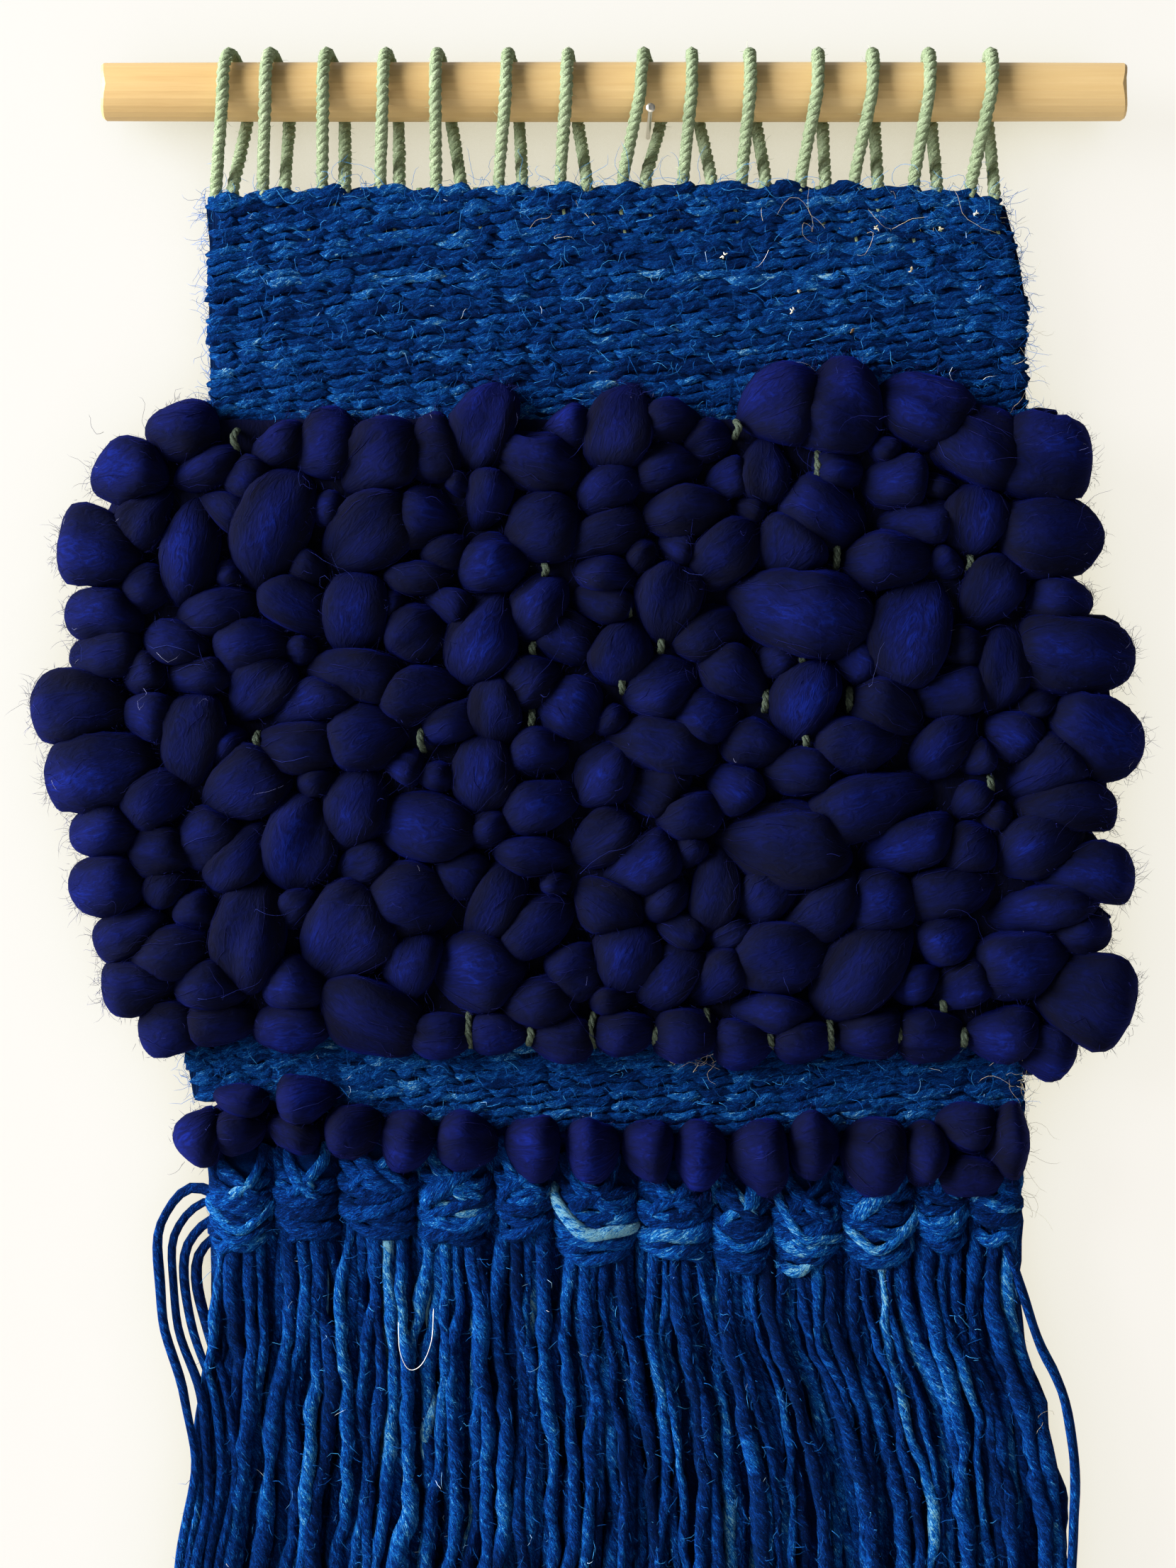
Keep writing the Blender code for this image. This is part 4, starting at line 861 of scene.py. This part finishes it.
def build_tufts(name, tufts, cad_node, seed, swell, left, right):
    """The tufts in front, and lower ones where the wool passes the back of the warp.

    left and right are where the wool ends at each side, as rows of z and x. Returns the front ones' forms.
    """
    rng = np.random.default_rng(seed)
    backs = []
    for one in tufts:
        room = 1.15 * one["a"] + 3.0
        x = min(max(one["x"] + BACK_SHIFT, along(left, one["z"]) + room), along(right, one["z"]) - room)
        backs.append(dict(one, x=x, depth=min(BACK_DEPTH, one["depth"] * 0.68), tilt=-one["tilt"]))
    forms = []
    for field, side, ending in ((tufts, 1, "front"), (backs, -1, "back")):
        mesh = Mesh()
        for one in field:
            others = [other for other in field if other is not one]
            near = [other for other in others if spacing(one, other) < PRESSING * (one["b"] + other["b"])]
            fine = (10 + int(0.62 * one["a"]), 14 + int(0.8 * one["b"])) if side > 0 else (9, 12)
            points, fibre, dye = tuft_points(rng, one, near, side, *fine, swell)
            mesh.grid(points, fibre, dye)
            if side > 0:
                forms.append(points)
        made = mesh.make(f"{name}_{ending}", "carded", "carded_wool")
        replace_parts(made, cad_node)
    return forms


def build_wool_behind():
    """The rows' own wool, seen only deep between the tufts of the block, and the warp where it shows, both
    darkened with painted shade.
    """
    rng = np.random.default_rng(BEHIND_SEED)
    z = np.linspace(TUFT_TOP_Z + 1.0, TUFT_BOTTOM_Z - 1.5, 30)[:, None]
    u = np.linspace(0, 1, 40)
    left = along(side_reach(LEFT_TURNS), z) + BEHIND_INSET
    right = along(side_reach(RIGHT_TURNS), z) - BEHIND_INSET
    flat = xyz(blend(left, right, u), HANG_Y, z)
    thick = (2.6 + 1.0 * ripple(rng, flat, 12)) * np.minimum(1, np.minimum(u, 1 - u) * 14)
    front, back = flat - xyz(0, 1.5 * thick, 0), flat + xyz(0, thick, 0)
    ring = np.concatenate([front, back[:, -2:0:-1]], axis=1)
    wool_behind = Mesh()
    # painted shade: this wool gets a very low colour level, darker than the tufts, as shade deep between
    # them
    wool_behind.grid(ring, ring, 0.1)
    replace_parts(wool_behind.make("block_wool_between", "carded", "carded_wool"), "roving_block")

    warp = Mesh()
    down = np.linspace(0.5, -0.5, 10)
    for x, z, length in WARP_GLIMPSES:
        x = x + 0.6 * drift(rng, down, 0.5)[0]
        middle = xyz(x, HANG_Y - 8.5 + 14 * down**2, z + 1.2 * length * down)
        s = lengths(middle)
        for ply in range(3):
            turn = TURN * (s / PLY_TURN + ply / 3)
            warp.tubes(rng, (middle + 0.5 * xyz(np.cos(turn), np.sin(turn), 0))[None], 0.62, 0.62, 5, 0.45)
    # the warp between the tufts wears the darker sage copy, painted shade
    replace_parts(warp.make("block_warp", "warp_painted_shade", "warp_wool"), "roving_block")


# ---------------- knots and fringe


def sway(u, t):
    """Sideways drift of a strand, u across the fringe and t down it. Neighbours drift alike."""
    wave = 2.6 * np.sin(TURN * (1.25 * u + 0.30)) * np.sin(math.pi * np.minimum(1.0, 1.15 * t))
    late = -3.4 * np.exp(-(((u - 0.46) / 0.18) ** 2)) * smoothstep((t - 0.3) / 0.5)
    lean = 9.0 * smoothstep((u - 0.3) / 0.5) * smoothstep((t - 0.05) / 0.5)
    return (wave + late + lean) * np.sin(math.pi * u)


def knot_wraps(rng, left, right, bottom, top):
    """The yarn that goes round each knot, drooping in front, and the ends crossed over its top."""
    middle, half = (left + right) / 2, (right - left) / 2
    paths = []
    arc = np.linspace(math.radians(-30), math.radians(210), 30)
    for share in np.linspace(0, 1, KNOT_WRAPS):
        z_here = top - 1.5 + (bottom + 1.8 - top) * share
        bulge = math.sin(math.pi * share)
        reach = half * (0.94 + 0.12 * bulge) - 1.3
        sag, slope = rng.uniform(0.5, 4.4), rng.uniform(-3.2, 3.2)
        y = HANG_Y - 1.0 - (4.3 + 0.9 * bulge + rng.uniform(-0.5, 0.5)) * np.sin(arc)
        z = z_here + 1.5 - sag * np.sin(arc) + slope * np.cos(arc)[::-1] + 0.8 * drift(rng, arc, 0.6)[0]
        paths.append(xyz(middle + reach * np.cos(arc)[::-1], y, z))
    for side in (-1, 1, -1):
        lean = rng.uniform(0.5, 0.8)
        shares = (lean, 0.8 * lean, rng.uniform(-0.1, 0.3), -rng.uniform(0.2, 0.7), -0.7)
        x = middle + side * half * np.array(shares)
        y = HANG_Y - np.array((1.5, 4.0, 6.0, 5.6, 2.5))
        paths.append(smooth_path(xyz(x, y, top + np.array((9, 4, -1, -5, -9))), 30))
    return np.array(paths)


def pale_wrap(x, z):
    """A wrap round a knot's front, from x and z at its left end, lowest point and right end."""
    (x0, x1, x2), (z0, z1, z2) = x, z
    xs = (x0 + 1, x0, (x0 + x1) / 2, x1, (x1 + x2) / 2, x2, x2 - 1)
    depths = np.array((-1.0, 3.5, 6.6, 7.4, 6.6, 3.5, -1.0))
    zs = (z0 + 2.5, z0, (z0 + 2 * z1) / 3, z1, (z2 + 2 * z1) / 3, z2, z2 + 2.5)
    return smooth_path(xyz(xs, HANG_Y - depths, zs), 40)[None]


def knot_heart(left, right, bottom, top):
    """The yarn inside a knot, a closed form that the wraps lie on."""
    middle, half = (left + right) / 2, (right - left) / 2
    levels = np.linspace(0, 1, 8)[:, None]
    around = TURN * np.arange(16) / 16
    size = 0.9 * np.sin(math.pi * (0.1 + 0.8 * levels)) ** 0.4
    z = top + 8 + (bottom - 2 - top) * levels
    return xyz(middle + half * size * np.cos(around), HANG_Y + 5.0 * size * np.sin(around), z)


def strand(rng, knot, u_knot, behind, y_layer):
    """A strand of the fringe from inside its knot to its cut end."""
    left, right, bottom = knot
    u = (left + (right - left) * u_knot - FRINGE_LEFT) / FRINGE_WIDTH
    tip = FRINGE_END_Z + rng.uniform(0, 9)
    t = np.linspace(0, 1, 38 if behind else 76)
    root_z = bottom + (25 if behind else 6)
    z = root_z + (tip - root_z) * t
    lane = across(FRINGE_EDGES, z, u) + sway(u, t)
    root_x = (left + right) / 2 + (1.04 if behind else 0.78) * (right - left) / 2 * (2 * u_knot - 1)
    spread = smoothstep(t / 0.22)
    far = rng.choice((3.0, 9.0)) * rng.uniform(-1, 1) * math.sin(math.pi * u)
    cross = far * smoothstep((t - 0.05) / 0.6)
    wander = 2.0 * drift(rng, z, 36)[0] + 1.0 * drift(rng, z, 14)[0] + 0.6 * drift(rng, z, 5.5)[0]
    loose = 0.35 if behind else 1.0
    x = blend(root_x, lane, spread) + loose * (wander * smoothstep(t / 0.15) + cross)
    root_y = HANG_Y + (0.9 if behind else 0.45) * y_layer
    lane_y = HANG_Y + y_layer + 1.2 * drift(rng, z, 26)[0]
    return xyz(x, blend(root_y, lane_y, spread), z)


def knot_strands(rng, knot):
    """The strands of one knot, those in front and those behind."""
    fronts, backs = [], []
    for rank, (y_layer, lanes) in enumerate(FRINGE_LAYERS):
        behind = rank >= FRONT_RANKS
        strands = max(2, round(lanes * (knot[1] - knot[0]) / FRINGE_WIDTH * (5.4 if behind else 4.0)))
        for k in range(strands):
            u_knot = (k + 0.5 + (0.1 if behind else 0.4) * rng.uniform(-1, 1)) / strands
            (backs if behind else fronts).append(strand(rng, knot, u_knot, behind, y_layer))
    return np.array(fronts), np.array(backs)


def bow_strands(rng):
    """The loose strands that bow out at the left."""
    bows = []
    for rank in range(BOWS):
        points = [(-110 + rank, -13.0, -305.0), (-119.0 + rank, -14.0, -298.5 - 3 * rank)]
        for z, x, y in BOW:
            points.append((x + rank * 3.6, y + 0.6 * rank, z - 4.0 * rank * math.exp((z - BOW[0][0]) / 25)))
        bow = smooth_path(points, 70)
        bow[:, 0] += 0.9 * drift(rng, bow[:, 2], 16)[0]
        bows.append(bow)
    return np.array(bows)


def build_fringe():
    """The rya knots and their strands. Returns the strands in front."""
    rng = np.random.default_rng(FRINGE_SEED)
    grown = []
    for index, knot in enumerate(KNOTS, 1):
        left, right, bottom = knot
        mesh = Mesh()
        top = bottom + KNOT_HEIGHT
        wraps = knot_wraps(rng, left, right, bottom, top)
        s = lengths(wraps)
        each = (len(wraps), 1)
        thick = 1.95 * (1 + 0.3 * drift(rng, s, 8)) * rng.uniform(0.78, 1.2, each)
        dye = 0.33 + 0.18 * drift(rng, s, 12) + rng.uniform(-0.16, 0.16, each)
        # painted highlight: some wraps are paler where they bulge furthest to the front
        dye += 0.36 * (rng.uniform(0, 1, each) > 0.86) * smoothstep(1.2 - np.abs(s - 16) / 10)
        mesh.tubes(rng, wraps, 0.82 * thick, thick, 7, dye, up=(0, 0, 1))
        for *ends, half_thick, tone in PALE_WRAPS:
            if left < ends[2] < right:
                wrap = pale_wrap(ends[::2], ends[1::2])
                s = lengths(wrap)
                tone = tone + 0.10 * drift(rng, s, 5)
                thick = half_thick * (1 + 0.15 * drift(rng, s, 6))
                mesh.tubes(rng, wrap, 0.8 * half_thick, thick, 8, tone, up=(0, 0, 1))
        heart = knot_heart(left, right, bottom, top)
        mesh.grid(heart, heart, 0.3)

        fronts, backs = knot_strands(rng, knot)
        # painted shade: the strands behind start from a darker colour level than those in front
        for paths, sides, size, pale in ((fronts, 6, 1.9, 0.36), (backs, 5, 2.35, 0.20)):
            s = lengths(paths)
            each = (len(paths), 1)
            thick = size * (1 + 0.22 * drift(rng, s, 14) + 0.24 * drift(rng, s, 4.5))
            thick *= rng.uniform(0.62, 1.22, each)
            dye = pale + 0.14 * drift(rng, s, 60) + 0.20 * drift(rng, s, 16)
            dye += rng.uniform(-0.24, 0.16, each) + 0.24 * (rng.uniform(0, 1, each) > 0.88)
            streak = 0.40 * smoothstep((drift(rng, s, 30) - 0.82) / 0.15)
            dye += streak * (rng.uniform(0, 1, each) > 0.5)
            mesh.tubes(rng, paths, thick, 0.95 * thick, sides, dye)
        if index == len(KNOTS):
            bow = smooth_path([(x, y, z) for z, x, y in BOW_RIGHT], 60)
            pair = np.stack([bow, bow + (0.8, 1.8, 0.0)])
            s = lengths(pair)
            thick = 1.1 * (1 + 0.15 * drift(rng, s, 9))
            mesh.tubes(rng, pair, thick, 1.1, 6, 0.30 + 0.15 * drift(rng, s, 25))
        if index == 1:
            bows = bow_strands(rng)
            s = lengths(bows)
            thick = 1.35 * (1 + 0.2 * drift(rng, s, 15))
            mesh.tubes(rng, bows, thick, thick, 7, 0.28 + 0.2 * drift(rng, s, 30))
        made = mesh.make(f"fringe_yarn_{index:02d}", "fringe", "fringe_wool")
        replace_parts(made, f"fringe_{index:02d}")
        grown.append(fronts)
    return np.concatenate(grown)


# ---------------- loose fibres


def hairs(mesh, rng, roots, headings, reach, curl, radius, dye, steps):
    """Fine fibres that leave their roots along headings and wander off."""
    count = len(roots)
    step = (np.broadcast_to(reach, (count,)) / (steps - 1))[:, None]
    heading = unit(headings)
    turn = rng.normal(size=(count, 3))
    path = [roots]
    for _ in range(steps - 1):
        turn = 0.6 * turn + 0.8 * rng.normal(size=(count, 3))
        heading = unit(heading + curl * turn)
        path.append(path[-1] + heading * step)
    mesh.spikes(rng, np.stack(path, axis=1), radius * np.linspace(1.0, 0.6, steps - 1), dye)


def sprinkle(mesh, rng, roots, scatter, way, reach, curl, radius, dye, steps):
    """Hairs that scatter round a way. reach is a length or a range, dye a number or a beta's a and b."""
    count = len(roots)
    headings = rng.normal(size=(count, 3)) * scatter + way
    reach = rng.uniform(*reach, count) if np.ndim(reach) else reach
    dye = rng.beta(*dye, (count, 1)) if np.ndim(dye) else dye
    hairs(mesh, rng, roots, headings, reach, curl, radius, dye, steps)


def over_tuft(rng, points, count, steps=5):
    """Paths that follow a tuft's front from end to end for a while and lift off it a little."""
    stations, around = points.shape[:2]
    outward = unit(points - points.mean(axis=1, keepdims=True))
    part = np.linspace(0, 1, steps)
    run = rng.choice((-1, 1), (count, 1)) * rng.uniform(2.5, 7, (count, 1))
    row = np.clip(rng.uniform(1, stations - 2, (count, 1)) + run * part, 0, stations - 1.001)
    turn = np.cumsum(rng.normal(size=(count, steps)), axis=1) * 0.35
    column = np.clip(rng.uniform(0, around / 2, (count, 1)) + turn, 0, around - 1.001)
    i, j = row.astype(int), column.astype(int)
    u, v = (row - i)[..., None], (column - j)[..., None]

    def between(field):
        return blend(*(blend(field[k, j], field[k, (j + 1) % around], v) for k in (i, i + 1)), u)

    lift = rng.uniform(0.0, 0.5, (count, 1)) + rng.uniform(0, 0.7, (count, 1)) * part**2
    return between(points) + lift[..., None] * between(outward)


def band_fuzz(rng):
    """Fibres over the bands, lying along the cloth, and standing off their edges."""
    mesh = Mesh()
    rows = ("upper", -82, -17.6, 1500, 130), ("lower", -276, -252, 600, 50)
    for kind, bottom_z, top_z, count, edge in rows:
        sides = BANDS[kind]["sides"]
        x = rng.uniform(sides[-1][1], sides[-1][2], count)
        roots = xyz(x, HANG_Y - 2.7, rng.uniform(bottom_z, top_z, count))
        sprinkle(mesh, rng, roots, (1.0, 0.25, 0.7), (0, -0.15, 0), (2, 8), 0.6, 0.07, (1.2, 2.2), 5)
        for column, way in ((1, -1), (2, 1)):
            z = rng.uniform(bottom_z, top_z, edge)
            roots = xyz(along(sides, z, column), HANG_Y + rng.uniform(-1, 1, edge), z)
            sprinkle(mesh, rng, roots, (0.4, 0.4, 0.8), (way, 0, 0), (2, 9), 0.5, 0.07, 0.5, 7)
    x = rng.uniform(-123, 98, 110)
    roots = xyz(x, HANG_Y - 1.5, along(BANDS["upper"]["top"], x) + 0.5)
    sprinkle(mesh, rng, roots, (1.0, 0.4, 0.4), (0, -0.1, 0.35), (5, 16), 0.55, 0.075, 0.7, 10)
    mesh.make("band_fuzz", "fuzz_blue", "weft_wool")


def tuft_fuzz(rng, forms):
    """Fibres that lie along each tuft, and shorter ones that stand off it."""
    lying, standing = Mesh(), Mesh()
    for points in forms:
        size = np.linalg.norm(np.ptp(points, axis=(0, 1)))
        count = int(0.28 * size)
        paths = over_tuft(rng, points, count)
        radius = rng.uniform(0.04, 0.10, (count, 1)) * (0.5, 1.0, 1.0, 0.8)
        lying.spikes(rng, paths, radius, rng.beta(1.0, 3.5, (count, 1)))
        # tufts at the wool's sides, top and bottom are fuzzier, and their fibres stand out that way
        centre = points.mean(axis=(0, 1))
        x, _, z = centre
        way = np.array([float(x > 108) - (x < -138), 0, (z > -98) - 0.7 * (z < -286)])
        edge = np.abs(way).max()
        coats = ((1.7, 0.8, 3.2, 2), (5.0 * edge, 1.2, 6.0, 4), (0.2 + 0.3 * edge, 3, 10, 5))
        for share, low, high, steps in coats:
            count = int(share * size)
            row = rng.integers(1, points.shape[0] - 1, count)
            half = points.shape[1] // 2
            column = rng.integers(0, half + 1, count)
            if steps == 2:
                column = np.where(column > half / 2, half - column // 5, column // 3)
            roots = points[row, column] + 0.6 * rng.normal(size=(count, 3)) * (1, 0, 1)
            headings = unit(roots - points[row].mean(axis=1))
            headings = headings + 0.7 * rng.normal(size=(count, 3)) + 0.5 * way
            radius = 0.055 if steps > 2 else 0.07
            pale = 2.4
            if steps > 2 and edge:
                outer = (roots - centre) @ way > 0.22 * size
                roots, headings = roots[outer], headings[outer]
                pale = 1.4
            reach = rng.uniform(low, high, len(roots))
            tone = rng.beta(1.5, pale, (len(roots), 1))
            hairs(standing, rng, roots, headings, reach, 0.6, radius, tone, steps)
    x, z = rng.uniform(-158, 124, 120), rng.uniform(TUFT_BOTTOM_Z, TUFT_TOP_Z, 120)
    roots = xyz(x, HANG_Y - rng.uniform(9, 15, 120), z)
    sprinkle(lying, rng, roots, (1, 0.15, 1), 0, (10, 28), 0.4, 0.06, (1.0, 2.0), 12)
    lying.make("wool_fibres", "fuzz_navy", "carded_wool")
    standing.make("wool_fuzz", "fuzz_navy", "carded_wool")


def fringe_fuzz(rng, strands):
    """Fibres that stand off the fringe, and one thicker white hair caught in it."""
    mesh = Mesh()
    which = rng.integers(0, len(strands), FRINGE_HAIRS)
    place = rng.integers(1, strands.shape[1] - 1, FRINGE_HAIRS)
    roots = strands[which, place] + rng.normal(size=(FRINGE_HAIRS, 3)) * (1.2, 0.4, 2.0) - (0, 1.2, 0)
    sprinkle(mesh, rng, roots, (0.8, 0.5, 0.9), (0, -0.35, -0.5), (1.5, 6), 0.7, 0.08, (1.2, 2.2), 4)
    white = smooth_path([(x, HANG_Y - 12.6, z) for x, z in WHITE_HAIR], 40)
    mesh.spikes(rng, white[None], 0.12, 1.0)
    mesh.make("fringe_fuzz", "fuzz_blue", "fringe_wool")


def undyed_fibres(rng):
    """Undyed fibres at the bands' edges, over the lower band and right of the fringe, and flecks."""
    mesh = Mesh()
    for count, low, high, deep, way, reach in PALE_FIBRES:
        x, z = rng.uniform(low[0], high[0], count), rng.uniform(low[1], high[1], count)
        headings = rng.normal(size=(count, 3)) * (0.7, 0.3, 0.7) + (way[0], 0, way[1])
        reach = reach * rng.uniform(0.4, 1, count)
        tone = rng.uniform(0.3, 0.7, (count, 1))
        hairs(mesh, rng, xyz(x, HANG_Y - deep, z), headings, reach, 0.42, 0.05, tone, 10)
    for x, z, tone in FLECKS:
        roots = xyz(x + rng.uniform(-0.3, 0.3, 4), HANG_Y - 3.0, z + rng.uniform(-0.3, 0.3, 4))
        sprinkle(mesh, rng, roots, (1, 0.2, 1), 0, 1.1, 0.3, 0.3, 0.9 * tone, 4)
    mesh.make("undyed_fibres", "fuzz_pale", "weft_wool")


# ---------------- stage


def stage_plane(name, corners, colour):
    mesh = bpy.data.meshes.new(name)
    mesh.from_pydata(corners, [], [(0, 1, 2, 3)])
    obj = link(name, mesh)
    n = Nodes(name)
    n.set(Base_Color=srgb(colour), Roughness=0.9, Specular_IOR_Level=0.1)
    n.set(Normal=n.bump(n.noise(n.where(), 60.0, 3.0), 0.05, 2 * MM))
    mesh.materials.append(n.material)
    return n


def build_stage():
    """A bright glowing wall, seen from its front only, with painted shade that makes it darker and browner
    close to the wool, and a floor.
    """
    x, y, low, high = 2.5, 0.6 * MM, -1.3, 2.0
    n = stage_plane("wall", [(-x, y, low), (x, y, low), (x, y, high), (-x, y, high)], (60, 63, 70))
    # painted shade: the wall's glow is darkened and browned where anything lies close in front of it
    near = n.add("AmbientOcclusion", {"Distance": 35 * MM}, samples=12).outputs["AO"]
    glow_and_painted_shade = (0, (186, 176, 140)), (0.45, (240, 235, 214)), (0.8, (252, 249, 238)), (1, (255, 251, 242))
    n.set(Emission_Color=n.ramp(near, glow_and_painted_shade), Emission_Strength=0.895)
    behind = n.add("NewGeometry").outputs["Backfacing"]
    inputs = {0: behind, 1: n.shader.outputs[0], 2: n.add("BsdfTransparent").outputs[0]}
    n.fill(n.tree.nodes["Material Output"].inputs["Surface"], n.add("MixShader", inputs).outputs[0])
    stage_plane("floor", [(-3, -3.5, low), (3, -3.5, low), (3, 3, low), (-3, 3, low)], (236, 232, 224))


def build_light_and_camera():
    """Soft light from a window close by at the left, and a pale room."""
    light = bpy.data.lights.new("window", "AREA")
    light.shape = "RECTANGLE"
    light.size = 2.0
    light.size_y = 1.2
    light.energy = 232.0
    light.color = (1.0, 0.985, 0.965)
    window = link("window", light)
    window.location = (-1.74, -0.40, 0.34)
    window.rotation_euler = (window.location - Vector((0, 0, -0.2))).to_track_quat("Z", "Y").to_euler()
    world = bpy.data.worlds.new("studio")
    world.use_nodes = True
    world.node_tree.nodes["Background"].inputs["Color"].default_value = (1.0, 0.98, 0.94, 1.0)
    world.node_tree.nodes["Background"].inputs["Strength"].default_value = 0.19
    bpy.context.scene.world = world
    bpy.context.scene.view_settings.view_transform = "Standard"
    camera = bpy.data.cameras.new("camera")
    camera.lens = 50.0
    camera.sensor_width = 36.0
    camera.clip_start = 0.02
    obj = link("camera", camera)
    obj.location = (-0.01705, -0.620, -0.184)
    obj.rotation_euler = (math.radians(90), 0, 0)
    bpy.context.scene.camera = obj


def main():
    build_stage()
    build_light_and_camera()
    for name, finish in (("dowel", "wood"), ("hanging_nail", "steel")):
        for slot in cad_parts[name].material_slots:
            slot.material = MATERIALS[finish]
    build_warp_loops()
    build_band("upper")
    build_band("lower")
    left, right = side_reach(LEFT_TURNS), side_reach(RIGHT_TURNS)
    forms = build_tufts("block_wool", block_tufts(), "roving_block", BLOCK_SEED, TUFT_SWELL, left, right)
    build_wool_behind()
    row = [tuft(*place, end=0.58) for place in ROW_TUFTS]
    forms += build_tufts("row_wool", row, "roving_row", ROW_SEED, ROW_SWELL, [(0, -132)], [(0, 105)])
    strands = build_fringe()
    rng = np.random.default_rng(FUZZ_SEED)
    band_fuzz(rng)
    tuft_fuzz(rng, forms)
    fringe_fuzz(rng, strands)
    undyed_fibres(rng)


main()
